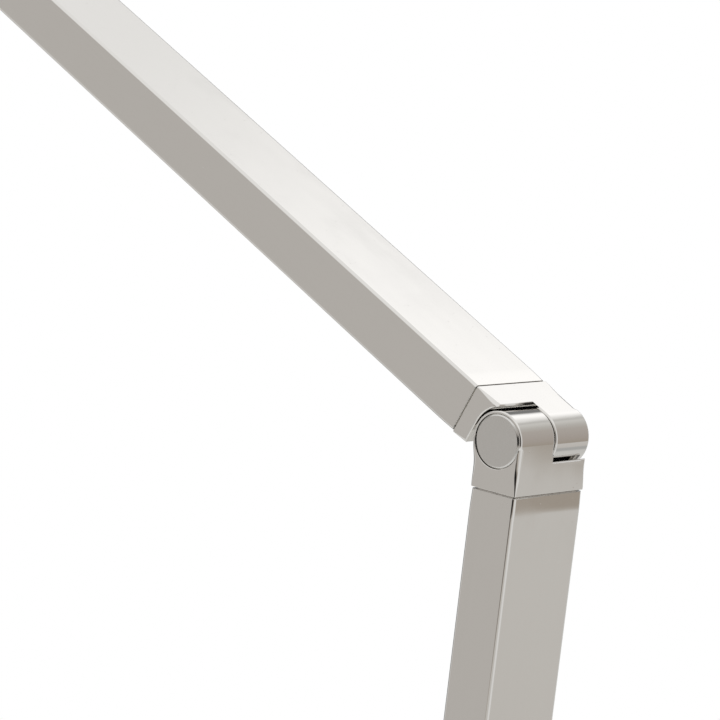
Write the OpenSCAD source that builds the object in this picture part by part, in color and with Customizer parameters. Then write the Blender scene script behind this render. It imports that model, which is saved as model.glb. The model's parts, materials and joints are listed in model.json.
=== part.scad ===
// Accordion desk lamp: three flat bars of polished nickel, folded against each other at three
// alike knuckles, on a weighted slab. The last bar holds a strip of LEDs behind an opal sheet.
//
// Frame: +Z up, origin at the middle of the underside. The bars swing in the XZ plane, every
// pivot runs along Y, and the head reaches towards -X.
//
// Each knuckle is two half-lapped blocks. A block is drawn about its own pivot: x runs along the
// bar away from the pivot, y towards the outer side of the fold, z across the bar towards the
// half that carries the ear.

/* [Bars] */
// Width of every bar, across the lamp
bar_w = 40; // [34:1:50]
// Thickness of every bar
bar_t = 20; // [18:1:26]
// Outside corner radius of the drawn tube, and of the long edges of the blocks
tube_corner = 1.2; // [0.8:0.1:2.4]
// Wall of the drawn tube
tube_wall = 1.5; // [1:0.25:2.5]
// Pivot to pivot along the lower bar
lower_l = 380; // [300:5:480]
// Pivot to pivot along the upper bar
upper_l = 380; // [300:5:480]
// Pivot to tip of the light head
head_l = 330; // [240:5:420]

/* [Rest pose] */
// Lean of the lower bar from upright, degrees
lower_lean = 8.65; // [0:0.05:30]
// Rise of the upper bar above level, degrees
upper_rise = 34; // [0:1:60]
// Rise of the head above level, degrees
head_rise = 0; // [-20:1:20]

/* [Knuckles] */
// Distance of the pivot from the bar's middle, towards the fold
pivot_offset = 0.9; // [0.4:0.1:2]
// Pivot to the seam between block and tube
seam = 18.2; // [16:0.2:26]
// Gap between the two ears
ear_gap = 0.8; // [0.6:0.1:1.6]
// Running gap between an ear and the wall of the other block's notch
notch_gap = 0.4; // [0.3:0.05:0.8]
// Radius of the curved part of the notch
notch_r = 13; // [12.4:0.1:18]
// Length of the spigot that goes into a tube
spigot_l = 25; // [18:1:34]
// Gap all round a spigot, and round pieces that slide into a tube
slide_gap = 0.1; // [0.05:0.05:0.2]
// Smallest angle between two folded bars, degrees
fold_min = 84; // [83:1:100]
// Smallest angle between the lower bar and the base block, degrees
base_fold_min = 90; // [84:1:110]

/* [Pivots] */
// Radius of the flush disc at each end of a pivot
disc_r = 9.7; // [8.8:0.1:9.9]
// Thickness of the flush disc
disc_t = 2.5; // [1.5:0.1:3.5]
// Gap round the disc
disc_gap = 0.2; // [0.1:0.05:0.3]
// Bevel on the rim of the disc
disc_bevel = 0.5; // [0.1:0.1:0.8]
// Radius of the pivot bolt's shank
bolt_r = 4; // [3.5:0.25:4.5]
// Running gap round the shank
bolt_gap = 0.05; // [0.02:0.01:0.1]
// Nut, across flats
nut_flats = 13; // [12:0.5:14]
// Nut thickness
nut_t = 6.5; // [4:0.5:7.5]
// Outside radius of the conical spring washer
cone_r = 7.9; // [7:0.1:7.9]
// Thickness of the spring washer's metal
cone_t = 0.8; // [0.5:0.1:1.2]
// Height of the spring washer's cone
cone_rise = 0.4; // [0.2:0.1:0.6]
// Outside radius of the friction washer
friction_r = 7.4; // [6.5:0.1:7.6]
// Thickness of the friction washer
friction_t = 0.5; // [0.3:0.05:0.55]
// Small end gap beside washers and nuts
end_gap = 0.1; // [0.05:0.05:0.2]
// Radius of the stop pin
stop_r = 0.9; // [0.7:0.05:1.1]
// Distance of the stop pin from the pivot
stop_at = 8.9; // [8.8:0.05:9]
// Depth of the groove that the stop pin runs in
stop_deep = 1.8; // [1.2:0.1:2]
// Length of stop pin held in its ear
stop_held = 5.5; // [3:0.5:8]
// Gap round the stop pin in its groove
stop_gap = 0.2; // [0.15:0.05:0.25]

/* [Wiring] */
// Radius of the lead inside the bars
lead_r = 1.8; // [1.2:0.1:2]
// Gap round the lead in its bores
lead_gap = 0.3; // [0.2:0.05:0.4]
// Distance of the lead from the middle of the bar's width
lead_at = 5; // [4.6:0.1:5.6]

/* [Grub screws] */
// Radius of a grub screw
grub_r = 2; // [1.5:0.25:2.5]
// Length of a grub screw
grub_l = 5; // [4:0.5:6]
// Gap round a screw in its hole
screw_gap = 0.05; // [0.02:0.01:0.1]
// Distance of a grub screw from the seam
grub_at = 12; // [8:1:14]
// Distance of a grub screw from the middle of the bar's width
grub_side = 11; // [9:0.5:13]

/* [Base] */
// Length of the base, along the bars' plane
base_l = 220; // [190:5:280]
// Width of the base
base_w = 150; // [130:5:200]
// Height of the base's top face above the table
base_h = 25; // [24:0.5:34]
// Corner radius of the base in plan
base_corner = 4; // [3:0.5:10]
// Wall of the base cover
cover_wall = 2.5; // [1.5:0.25:3.5]
// Thickness of the bottom plate
plate_t = 3; // [2:0.5:4]
// Thickness of the rubber pad
pad_t = 2; // [1:0.5:3]
// Margin of the pad inside the base's edge
pad_margin = 1.5; // [1:0.5:5]
// Gap round the plate and the weight inside the cover
cover_gap = 0.3; // [0.1:0.1:0.6]
// Distance of the base pivot behind the middle of the base
base_pivot_x = 70; // [40:5:80]
// Height of the base pivot above the base
neck_h = 32; // [28:1:50]
// Radius of the screws that hold the bottom plate
plate_screw_r = 2; // [1.5:0.25:2.5]
// Length of the screws that hold the bottom plate
plate_screw_l = 12; // [8:1:14]
// Distance of the plate screws from the base's edges
plate_screw_in = 14; // [12:1:18]
// Radius of the two bolts that hold the base block
neck_bolt_r = 3; // [2:0.25:3]
// Depth of the neck bolts in the base block
neck_bolt_in = 10; // [6:1:11]
// Distance of a neck bolt from the middle of the block
neck_bolt_at = 12.5; // [12:0.25:13]
// Height of the neck bolt's head
neck_head_h = 5; // [3:0.5:6]
// Radius of the neck bolt's head
neck_head_r = 5; // [4.5:0.25:6]

/* [Driver and entry] */
// Length of the LED driver
driver_l = 96; // [70:2:110]
// Width of the LED driver
driver_w = 36; // [30:1:40]
// Height of the LED driver
driver_h = 15; // [10:0.5:15.5]
// Distance of the driver's middle from the side of the base
driver_in = 29; // [28:1:33]
// Middle of the driver, along the base
driver_x = -10; // [-20:1:0]
// Room round the driver in the weight
pocket_gap = 0.8; // [0.5:0.1:1.5]
// Length of the tab at each end of the driver
tab_l = 8; // [7:0.5:10]
// Thickness of the driver's tabs
tab_t = 2; // [1:0.25:3]
// Bore radius of the cord bush
bush_r = 3.6; // [2.5:0.1:4]
// Wall of the bush's barrel
bush_wall = 1.6; // [1:0.1:2]
// Length of the bush's barrel inside its flange
bush_l = 11; // [8:0.5:14]
// Thickness of the bush's flange
bush_flange_t = 1.5; // [1:0.25:3]
// Height of the bush above the table
bush_z = 14; // [13:0.5:15]
// Length of the terminal block
terminal_l = 18; // [14:1:20]
// Width of the terminal block
terminal_w = 14; // [10:1:16]
// Height of the terminal block
terminal_h = 11; // [8:1:14]

/* [Switch] */
// Distance of the switch in front of the middle of the base
switch_x = 82; // [76:1:86]
// Radius of the push button
button_r = 6; // [5:0.25:6.25]
// Height of the button above the base
button_up = 4; // [3.5:0.25:6]
// Travel of the button
button_travel = 2; // [1:0.25:2.5]
// Gap round the button
button_gap = 0.2; // [0.1:0.05:0.3]
// Width of the button's skirt, which a lip of the body keeps in
skirt_out = 0.8; // [0.5:0.1:1]
// Thickness of that skirt
skirt_t = 1.5; // [1:0.25:2]
// Radius of the switch body's threaded barrel
barrel_r = 8.5; // [8:0.25:10]
// Thickness of the switch body's flange
bezel_t = 1.2; // [0.8:0.1:2]
// Depth of the switch body below the flange
switch_deep = 15; // [14:0.5:16]
// Floor of the switch body
switch_floor = 2; // [1.5:0.25:3]
// Thickness of the ring nut
ring_t = 2.5; // [2:0.25:3.5]
// Diameter of the spring wire
spring_wire = 0.7; // [0.5:0.1:0.9]
// Radius of the return spring, at the middle of its wire
spring_r = 3; // [2.5:0.1:3.4]
// Turns of the return spring
spring_turns = 4; // [3:1:5]

/* [Light head] */
// Width of the light window
window_w = 31; // [24:1:33]
// Length of closed tube between the spigot and the window
window_start = 6; // [4:1:20]
// Length of closed tube beyond the window
window_end = 10; // [9:1:20]
// Thickness of the opal sheet
opal_t = 2; // [1.5:0.25:3]
// Length by which the opal sheet runs past the window at each end
opal_over = 4; // [3:0.5:5]
// Thickness of the LED carrier's web
carrier_t = 2.5; // [1.5:0.25:3]
// Thickness of the LED carrier's legs
carrier_leg = 1.5; // [1:0.1:2]
// Width of the LED board
board_w = 20; // [14:1:24]
// Thickness of the LED board
board_t = 1.6; // [1:0.1:2]
// Pitch of the LEDs
led_pitch = 10; // [8:1:16]
// Length and width of one LED
led_size = 3.5; // [2.5:0.25:4]
// Height of one LED
led_h = 0.8; // [0.6:0.1:1.2]
// Thickness of the end cap
cap_t = 3; // [3:0.5:6]
// Length of the end cap's plug inside the tube
cap_plug = 5; // [3:0.5:6]
// Radius of the end cap's screws
cap_screw_r = 1.25; // [1:0.25:1.5]
// Length of the end cap's screws
cap_screw_l = 10; // [9:1:14]
// Distance of the end cap's screws from the middle of its width
cap_screw_side = 14; // [12:0.5:14.5]

/* [Hidden] */

$fn = 64;

// Colours of the finishes
nickel = [0.80, 0.79, 0.77];
steel = [0.55, 0.56, 0.58];
iron = [0.27, 0.27, 0.28];
rubber = [0.12, 0.12, 0.12];

// The bar's faces, measured from the pivot
outer_y = bar_t / 2 + pivot_offset;
inner_y = pivot_offset - bar_t / 2;
ear_r = outer_y;
half_w = bar_w / 2;
half_gap = ear_gap / 2;
notch_x = ear_r + notch_gap;
cut = 1;

// Angles of the bars in the XZ plane, from +X towards +Z
base_angle = 270;
lower_angle = 90 - lower_lean;
upper_angle = 180 - upper_rise;
head_angle = 180 - head_rise;

// Places of the three pivots
base_pivot = [base_pivot_x, 0, base_h + neck_h];
elbow_pivot = base_pivot + along(lower_angle, lower_l) + along(lower_angle + 90, 2 * pivot_offset);
wrist_pivot = elbow_pivot + along(upper_angle, upper_l);

// Levels across a pivot, from the middle of the bar towards the ear that holds the nut
disc_floor = half_w - disc_t;
nut_floor = disc_floor - nut_t - cone_t - cone_rise - 3 * end_gap;
nut_pocket_r = max(nut_flats / 2 / cos(30), cone_r) + 0.3;
friction_in_r = bolt_r + disc_gap;
lead_bore_r = lead_r + lead_gap;

// Levels in the base
cavity_top = base_h - cover_wall;
plate_top = pad_t + plate_t;
weight_inset = cover_wall + cover_gap;
weight_h = cavity_top - plate_top;
driver_y = base_w / 2 - driver_in;
driver_pocket_l = driver_l + 2 * (tab_l + pocket_gap);
tab_hole_r = 1.5;
wire_gap = 1;

// Levels in the switch, from the top of the base
barrel_in_r = button_r + skirt_out + button_gap;
switch_bottom = base_h - switch_deep;
lip_low = base_h - 2;
button_floor = lip_low - end_gap - skirt_t;
shoulder_z = button_floor - button_travel - end_gap;
spring_bore_r = spring_r + spring_wire + button_gap;
flange_extra = 2;
bezel_r = barrel_r + flange_extra;
ring_r = barrel_r + flange_extra;
ring_top = cavity_top - end_gap;
spring_low = switch_bottom + switch_floor + spring_wire / 2;
spring_high = button_floor - spring_wire / 2;

// Levels in the light head, measured as the bar's faces are
tube_in_top = outer_y - tube_wall;
tube_in_low = inner_y + tube_wall;
light_from = seam + spigot_l + window_start;
tube_end = head_l - cap_t;
light_to = tube_end - window_end;
opal_from = light_from - opal_over;
opal_to = light_to + opal_over;
opal_top = tube_in_low + opal_t;
board_top = tube_in_top - carrier_t;
board_low = board_top - board_t;
carrier_w = bar_w - 2 * tube_wall - 2 * slide_gap;
led_count = floor((light_to - light_from) / led_pitch);

// A vector of a given length at an angle in the XZ plane
function along(angle, length) = [length * cos(angle), 0, length * sin(angle)];

// Where the line from a point touches a circle about the pivot, on the far side
function touch_angle(x, y, r) = atan2(y, x) - acos(r / norm([x, y]));
flare_angle = touch_angle(seam, inner_y, ear_r);

// Puts a block at its pivot: angle is the bar's, side is +1 for an ear towards +Y
module at_pivot(place, angle, side) {
    translate(place)
        rotate([0, -angle, 0])
            rotate([-90 * side, 0, 0])
                children();
}

module at_base_block() { at_pivot(base_pivot, base_angle, 1) children(); }
module at_lower_foot() { at_pivot(base_pivot, lower_angle, -1) children(); }
module at_lower_top() { at_pivot(elbow_pivot, lower_angle + 180, -1) children(); }
module at_upper_foot() { at_pivot(elbow_pivot, upper_angle, 1) children(); }
module at_upper_top() { at_pivot(wrist_pivot, upper_angle + 180, -1) children(); }
module at_head() { at_pivot(wrist_pivot, head_angle, 1) children(); }

// Rectangle with rounded corners, centred, as arcs and straight lines
module rounded_plan(length, width, r) {
    square([length - 2 * r, width], center = true);
    square([length, width - 2 * r], center = true);
    for (x = [-1, 1], y = [-1, 1])
        translate([x * (length / 2 - r), y * (width / 2 - r)])
            circle(r);
}

// A bar's section extruded along the bar from one distance to another
module bar_solid(from, to, thick, wide, r) {
    translate([from, pivot_offset, 0])
        rotate([0, 90, 0])
            linear_extrude(to - from)
                rounded_plan(wide, thick, r);
}

module bar_box(from, to, low, high, wide) {
    translate([from, low, -wide / 2])
        cube([to - from, high - low, wide]);
}

// ---- Knuckle blocks ----

// Half with the ear: round about the pivot, flaring from the tube's inner face
module ear_profile(length) {
    circle(ear_r, $fn = 96);
    polygon([
        [0, 0], [ear_r * cos(flare_angle), ear_r * sin(flare_angle)],
        [seam, inner_y], [length, inner_y], [length, outer_y], [0, outer_y]
    ]);
}

// Half without the ear: notched for the other block's ear, with a lip on the outer side
module notch_profile(length) {
    difference() {
        translate([0, inner_y])
            square([length, bar_t]);
        translate([-cut, inner_y - cut])
            square([notch_x + cut, cut - inner_y]);
        translate([notch_x - notch_r, 0])
            circle(notch_r, $fn = 128);
    }
}

// What a long edge loses to be as round as the tube: y is its face, side its half of the width
module edge_waste(from, to, y, side) {
    r = tube_corner;
    up = sign(y);
    translate([from, y - up * r, side * (half_w - r)])
        rotate([90, 0, 90])
            linear_extrude(to - from)
                difference() {
                    translate([min(0, up * (r + cut)), min(0, side * (r + cut))])
                        square(r + cut);
                    circle(r);
                }
}

module block_body(length) {
    flare_l = sqrt(seam * seam + inner_y * inner_y - ear_r * ear_r);
    difference() {
        union() {
            translate([0, 0, half_gap])
                linear_extrude(half_w - half_gap)
                    ear_profile(length);
            translate([0, 0, -half_w])
                linear_extrude(half_w + half_gap)
                    notch_profile(length);
        }
        edge_waste(0, length + cut, outer_y, 1);
        edge_waste(0, length + cut, outer_y, -1);
        edge_waste(0, length + cut, inner_y, -1);
        edge_waste(seam, length + cut, inner_y, 1);
        rotate([0, 0, flare_angle + 90])
            edge_waste(0, flare_l, -ear_r, 1);
    }
}

module spigot() {
    plug_t = bar_t - 2 * tube_wall - 2 * slide_gap;
    plug_w = bar_w - 2 * tube_wall - 2 * slide_gap;
    translate([seam, pivot_offset - plug_t / 2, -plug_w / 2])
        cube([spigot_l, plug_t, plug_w]);
}

// Bore for the lead, from the pivot to a given distance
module lead_bore(to) {
    translate([0, 0, lead_at])
        rotate([0, 90, 0])
            cylinder(r = lead_bore_r, h = to);
}

module grub_holes(extra) {
    for (z = [-1, 1])
        translate([seam + grub_at, inner_y - cut, z * grub_side])
            rotate([-90, 0, 0])
                cylinder(r = grub_r + screw_gap, h = grub_l + cut + extra, $fn = 32);
}

module grub_screws() {
    socket_flats = grub_r;
    for (z = [-1, 1])
        translate([seam + grub_at, inner_y, z * grub_side])
            rotate([-90, 0, 0])
                difference() {
                    translate([0, 0, end_gap])
                        cylinder(r = grub_r, h = grub_l - end_gap, $fn = 32);
                    cylinder(r = socket_flats / 2 / cos(30), h = grub_l / 2, $fn = 6);
                }
}

// Ear that holds the bolt's head: a seat for the disc and a hole for the stop pin
module bolt_side_cuts() {
    translate([0, 0, half_gap - cut])
        cylinder(r = bolt_r + bolt_gap, h = half_w + 2 * cut);
    translate([0, 0, disc_floor])
        cylinder(r = disc_r + disc_gap, h = disc_t + cut, $fn = 96);
    translate([0, stop_at, half_gap - cut])
        cylinder(r = stop_r + screw_gap, h = stop_held + cut, $fn = 32);
}

// Ear that holds the nut: its pocket, the seat of the cap and the groove for the stop pin
module nut_side_cuts(least_angle) {
    translate([0, 0, half_gap - cut])
        cylinder(r = bolt_r + bolt_gap, h = half_w + 2 * cut);
    translate([0, 0, nut_floor])
        cylinder(r = nut_pocket_r, h = half_w);
    translate([0, 0, disc_floor])
        cylinder(r = disc_r + disc_gap, h = disc_t + cut, $fn = 96);
    groove_half = stop_r + stop_gap;
    groove_turn = 180 - least_angle;
    translate([0, 0, half_gap - cut])
        rotate([0, 0, 90])
            rotate_extrude(angle = groove_turn, $fn = 96)
                translate([stop_at - groove_half, 0])
                    square([2 * groove_half, cut + stop_deep]);
    for (turn = [90, 90 + groove_turn])
        rotate([0, 0, turn])
            translate([stop_at, 0, half_gap - cut])
                cylinder(r = groove_half, h = cut + stop_deep, $fn = 32);
}

module arm_block() {
    block_body(seam);
    spigot();
}

module bolt_side_block() {
    color(nickel)
        difference() {
            arm_block();
            bolt_side_cuts();
            lead_bore(seam + spigot_l + cut);
            grub_holes(0);
        }
}

module nut_side_block(least_angle) {
    color(nickel)
        difference() {
            arm_block();
            nut_side_cuts(least_angle);
            lead_bore(seam + spigot_l + cut);
            grub_holes(0);
        }
}

// ---- Pivot hardware, drawn about the block that holds the bolt's head ----

module flush_disc() {
    rotate_extrude($fn = 96)
        polygon([
            [0, disc_floor], [disc_r, disc_floor], [disc_r, half_w - disc_bevel],
            [disc_r - disc_bevel, half_w], [0, half_w]
        ]);
}

// Hollow bolt: the lead goes in through a round window and out through a long one
module pivot_bolt(least_angle) {
    thread_end = disc_floor - end_gap * 2;
    window_half = 35;
    color(steel)
        difference() {
            union() {
                flush_disc();
                translate([0, 0, -thread_end])
                    cylinder(r = bolt_r, h = thread_end + disc_floor);
            }
            translate([0, 0, -thread_end - cut])
                cylinder(r = lead_bore_r, h = thread_end + cut + lead_at + lead_bore_r);
            lead_bore(bolt_r + cut);
            translate([0, 0, -lead_at - lead_bore_r])
                rotate([0, 0, 180 - window_half])
                    rotate_extrude(angle = 180 - least_angle + 2 * window_half)
                        translate([lead_bore_r / 2, 0])
                            square([bolt_r, 2 * lead_bore_r]);
        }
}

module friction_washer() {
    color([0.85, 0.83, 0.75])
        translate([0, 0, -friction_t / 2])
            difference() {
                cylinder(r = friction_r, h = friction_t);
                translate([0, 0, -cut])
                    cylinder(r = friction_in_r, h = friction_t + 2 * cut);
            }
}

module cone_washer() {
    color(steel)
        translate([0, 0, -nut_floor - end_gap])
            rotate([180, 0, 0])
                rotate_extrude()
                    polygon([
                        [friction_in_r, cone_rise], [cone_r, 0], [cone_r, cone_t],
                        [friction_in_r, cone_rise + cone_t]
                    ]);
}

module pivot_nut() {
    nut_low = nut_floor + cone_t + cone_rise + 2 * end_gap;
    color(steel)
        translate([0, 0, -nut_low])
            rotate([180, 0, 0])
                difference() {
                    cylinder(r = nut_flats / 2 / cos(30), h = nut_t, $fn = 6);
                    translate([0, 0, -cut])
                        cylinder(r = bolt_r + screw_gap, h = nut_t + 2 * cut);
                }
}

module stop_pin() {
    color(steel)
        translate([0, stop_at, half_gap - ear_gap - stop_deep + stop_gap])
            cylinder(r = stop_r, h = stop_held + ear_gap + stop_deep - stop_gap - end_gap, $fn = 32);
}

module pivot_cap() { color(nickel) flush_disc(); }

// ---- Bars ----

module plain_tube(to) {
    difference() {
        bar_solid(seam, to, bar_t, bar_w, tube_corner);
        bar_box(seam - cut, to + cut, tube_in_low, tube_in_top, bar_w - 2 * tube_wall);
    }
}

// One closed tube through a list of rings of points
module ringed_tube(rings) {
    sides = len(rings[0]);
    last = len(rings) - 1;
    end = last * sides;
    walls = [for (i = [0 : last - 1], k = [0 : sides - 1])
        let (a = i * sides + k, b = i * sides + (k + 1) % sides)
        for (face = [[a, b, b + sides], [a, b + sides, a + sides]]) face];
    near_end = [for (k = [1 : sides - 2]) [0, k + 1, k]];
    far_end = [for (k = [1 : sides - 2]) [end, end + k, end + k + 1]];
    polyhedron([for (ring = rings, point = ring) point], concat(walls, near_end, far_end));
}

// Direction of a route's run, and a side direction carried along it without twist
function run_dir(points, i) =
    let (run = points[i + 1] - points[i]) run / norm(run);
function first_side(dir) =
    let (side = cross(dir, abs(dir[2]) < 0.9 ? [0, 0, 1] : [1, 0, 0])) side / norm(side);
function side_dir(points, i) =
    i == 0 ? first_side(run_dir(points, 0)) :
    let (
        before = run_dir(points, i - 1), after = run_dir(points, i),
        side = side_dir(points, i - 1)
    )
    side - (side * after) / (1 + before * after) * (before + after);

// Ring of a lead at a point of its route, in the plane that halves the bend
function lead_ring(points, i) =
    let (
        run = min(i, len(points) - 2),
        dir = run_dir(points, run),
        halving = run_dir(points, max(i - 1, 0)) + dir,
        side = side_dir(points, run),
        other = cross(side, dir),
        sides = 12
    )
    [for (k = [0 : sides - 1])
        let (out = lead_r * (cos(360 * k / sides) * side + sin(360 * k / sides) * other))
        points[i] + out - (out * halving) / (dir * halving) * dir];

// Lead through a list of points
module lead_route(points) {
    color(rubber)
        ringed_tube([for (i = [0 : len(points) - 1]) lead_ring(points, i)]);
}

// ---- Base ----

module base_plan(inset) {
    rounded_plan(base_l - 2 * inset, base_w - 2 * inset, base_corner - min(inset, base_corner - 1));
}

module base_cover() {
    color(nickel)
        difference() {
            translate([0, 0, pad_t])
                linear_extrude(base_h - pad_t)
                    base_plan(0);
            translate([0, 0, pad_t - cut])
                linear_extrude(cavity_top - pad_t + cut)
                    base_plan(cover_wall);
            translate([-switch_x, 0, cavity_top - cut])
                cylinder(r = barrel_r + screw_gap, h = cover_wall + 2 * cut);
            neck_bolt_places()
                translate([0, 0, cavity_top - cut])
                    cylinder(r = neck_bolt_r + end_gap, h = cover_wall + 2 * cut);
            neck_wire_place()
                translate([0, 0, cavity_top - cut])
                    cylinder(r = lead_bore_r, h = cover_wall + 2 * cut);
            bush_place()
                translate([0, 0, -cover_wall - cut])
                    cylinder(r = bush_r + bush_wall + screw_gap, h = cover_wall + 2 * cut);
        }
}

// Middle of the base block over the base, and the places tied to it
block_x = base_pivot_x - pivot_offset;
module neck_bolt_places() {
    for (y = [-1, 1])
        translate([block_x, y * neck_bolt_at, 0])
            children();
}

module neck_wire_place() {
    translate([base_pivot_x, lead_at, 0])
        children();
}

// The bush's place: z runs out of the rear wall
bush_y = driver_y;
module bush_place() {
    translate([base_l / 2, bush_y, bush_z])
        rotate([0, 90, 0])
            children();
}

// Room behind the bush for the terminal block
entry_l = bush_l + terminal_l + 2 * pocket_gap;
entry_w = terminal_w + 2 * pocket_gap;
entry_x = base_l / 2 - entry_l;

module base_weight() {
    pocket_h = weight_h + 2 * cut;
    color(iron)
        difference() {
            translate([0, 0, plate_top])
                linear_extrude(weight_h)
                    base_plan(weight_inset);
            translate([driver_x, driver_y, plate_top - cut + pocket_h / 2])
                cube([driver_pocket_l, driver_w + 2 * pocket_gap, pocket_h], center = true);
            translate([entry_x, bush_y - entry_w / 2, plate_top - cut])
                cube([entry_l, entry_w, pocket_h]);
            translate([-switch_x, 0, plate_top - cut])
                cylinder(r = ring_r + pocket_gap, h = pocket_h);
            neck_bolt_places() {
                translate([0, 0, plate_top - cut])
                    cylinder(r = neck_bolt_r + end_gap, h = pocket_h);
                translate([0, 0, plate_top - cut])
                    cylinder(r = neck_head_r + cover_gap, h = neck_head_h + cover_gap + cut);
            }
            plate_screw_places()
                translate([0, 0, plate_top - cut])
                    cylinder(r = plate_screw_r + screw_gap, h = plate_screw_l + cut, $fn = 32);
            wire_slots();
        }
}

// Slots in the weight for the leads between the pockets
wire_slot_w = 2 * lead_r + 2 * wire_gap;
wire_z = plate_top + lead_r + end_gap;
wire_turn_x = block_x - neck_head_r - wire_slot_w;
module wire_slots() {
    slot_h = wire_slot_w + tab_t + cut;
    driver_end = driver_x + driver_pocket_l / 2;
    slot_y = driver_y - driver_w / 2;
    // from the driver to the entry
    translate([driver_end - cut, bush_y - wire_slot_w / 2, plate_top - cut])
        cube([entry_x - driver_end + 2 * cut, wire_slot_w, slot_h]);
    // from the driver to the switch
    translate([-switch_x - wire_slot_w / 2, 0, plate_top - cut])
        cube([wire_slot_w, slot_y + wire_slot_w, slot_h]);
    translate([-switch_x - wire_slot_w / 2, slot_y, plate_top - cut])
        cube([switch_x + driver_x, wire_slot_w, slot_h]);
    // from the driver past the neck bolts to the knuckle, and up into it
    translate([driver_end - wire_slot_w, slot_y, plate_top - cut])
        cube([wire_turn_x - driver_end + 1.5 * wire_slot_w, wire_slot_w, slot_h]);
    translate([wire_turn_x - wire_slot_w / 2, lead_at - wire_slot_w / 2, plate_top - cut])
        cube([wire_slot_w, slot_y - lead_at + wire_slot_w, slot_h]);
    translate([wire_turn_x, lead_at - wire_slot_w / 2, plate_top - cut])
        cube([base_pivot_x - wire_turn_x, wire_slot_w, slot_h]);
    neck_wire_place()
        translate([0, 0, plate_top - cut])
            cylinder(r = wire_slot_w / 2, h = weight_h + 2 * cut);
}

module plate_screw_places() {
    x = base_l / 2 - plate_screw_in;
    y = base_w / 2 - plate_screw_in;
    for (place = [[-x, -y], [-x, y], [x, -y], [x, y]])
        translate(place)
            children();
}

module driver_screw_places() {
    x = driver_l / 2 + tab_l / 2;
    for (side = [-1, 1])
        translate([driver_x + side * x, driver_y])
            children();
}

// Countersunk screw pointing up, its flat head flush at z = 0
module countersunk(r, length) {
    head_r = 2 * r;
    difference() {
        union() {
            cylinder(r1 = head_r, r2 = r, h = head_r - r, $fn = 32);
            cylinder(r = r, h = length, $fn = 32);
        }
        translate([0, 0, -cut])
            cylinder(r = r / 2, h = cut + r / 2, $fn = 6);
    }
}

module countersink(r, deep) {
    head_r = 2 * r + screw_gap;
    cylinder(r1 = head_r, r2 = r + screw_gap, h = head_r - r - screw_gap, $fn = 32);
    translate([0, 0, -cut])
        cylinder(r = head_r, h = cut, $fn = 32);
    cylinder(r = r + screw_gap, h = deep, $fn = 32);
}

module base_plate() {
    color(steel)
        difference() {
            translate([0, 0, pad_t])
                linear_extrude(plate_t)
                    base_plan(weight_inset);
            translate([0, 0, pad_t]) {
                plate_screw_places() countersink(plate_screw_r, plate_t + cut);
                driver_screw_places() countersink(tab_hole_r, plate_t + cut);
            }
        }
}

module plate_screws() {
    color(steel)
        translate([0, 0, pad_t])
            plate_screw_places()
                countersunk(plate_screw_r, plate_t + plate_screw_l - 1);
}

module driver_screws() {
    color(steel)
        translate([0, 0, pad_t])
            driver_screw_places()
                countersunk(tab_hole_r, plate_t + tab_t);
}

module base_pad() {
    color(rubber)
        linear_extrude(pad_t)
            base_plan(pad_margin);
}

// Bolts up through the weight and the cover into the base block
module neck_bolts() {
    color(steel)
        neck_bolt_places()
            difference() {
                union() {
                    translate([0, 0, plate_top + end_gap])
                        cylinder(r = neck_head_r, h = neck_head_h + cover_gap - end_gap);
                    translate([0, 0, plate_top + neck_head_h])
                        cylinder(r = neck_bolt_r, h = base_h - plate_top - neck_head_h + neck_bolt_in - end_gap);
                }
                translate([0, 0, plate_top])
                    cylinder(r = neck_bolt_r, h = neck_head_h / 2, $fn = 6);
            }
}

module cord_bush() {
    color(rubber)
        bush_place()
            difference() {
                union() {
                    cylinder(r = bush_r + 2 * bush_wall, h = bush_flange_t);
                    translate([0, 0, -bush_l])
                        cylinder(r = bush_r + bush_wall, h = bush_l);
                }
                translate([0, 0, -bush_l - cut])
                    cylinder(r = bush_r, h = bush_l + bush_flange_t + 2 * cut);
            }
}

module terminal_block() {
    way_r = 2;
    color([0.82, 0.82, 0.80])
        difference() {
            translate([entry_x + pocket_gap, bush_y - terminal_w / 2, plate_top])
                cube([terminal_l, terminal_w, terminal_h]);
            for (side = [-1, 1])
                translate([entry_x, bush_y + side * terminal_w / 4, plate_top + terminal_h / 2])
                    rotate([0, 90, 0])
                        cylinder(r = way_r, h = terminal_l + 2 * cut, $fn = 32);
        }
}

module led_driver() {
    color([0.88, 0.88, 0.86])
        difference() {
            union() {
                translate([driver_x, driver_y, plate_top + driver_h / 2])
                    cube([driver_l, driver_w, driver_h], center = true);
                translate([driver_x, driver_y, plate_top + tab_t / 2])
                    cube([driver_l + 2 * tab_l, driver_w / 2, tab_t], center = true);
            }
            driver_screw_places()
                translate([0, 0, plate_top - cut])
                    cylinder(r = tab_hole_r + screw_gap, h = tab_t + 2 * cut, $fn = 32);
        }
}

// Leads from the driver to the terminals, to the switch and up to the knuckle
module base_wiring() {
    lead_y = driver_y - driver_w / 2 + wire_slot_w / 2;
    driver_end = driver_x + driver_l / 2 + lead_r + end_gap;
    terminal_end = entry_x + pocket_gap - lead_r - end_gap;
    over_tab = plate_top + tab_t + lead_r + end_gap;
    switch_low = switch_bottom - lead_r - end_gap;
    lead_route([
        [driver_end, driver_y, over_tab], [driver_end + tab_l + lead_r, driver_y, over_tab],
        [terminal_end, driver_y, wire_z]
    ]);
    lead_route([
        [2 * driver_x - driver_end, lead_y, wire_z], [-switch_x, lead_y, wire_z],
        [-switch_x, 0, max(switch_low, wire_z)]
    ]);
    lead_route([
        [driver_end, lead_y, wire_z], [wire_turn_x, lead_y, wire_z],
        [wire_turn_x, lead_at, wire_z], [base_pivot_x, lead_at, wire_z],
        [base_pivot_x, lead_at, base_pivot[2] - bolt_r - lead_r - end_gap]
    ]);
}

// ---- Switch ----

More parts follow.
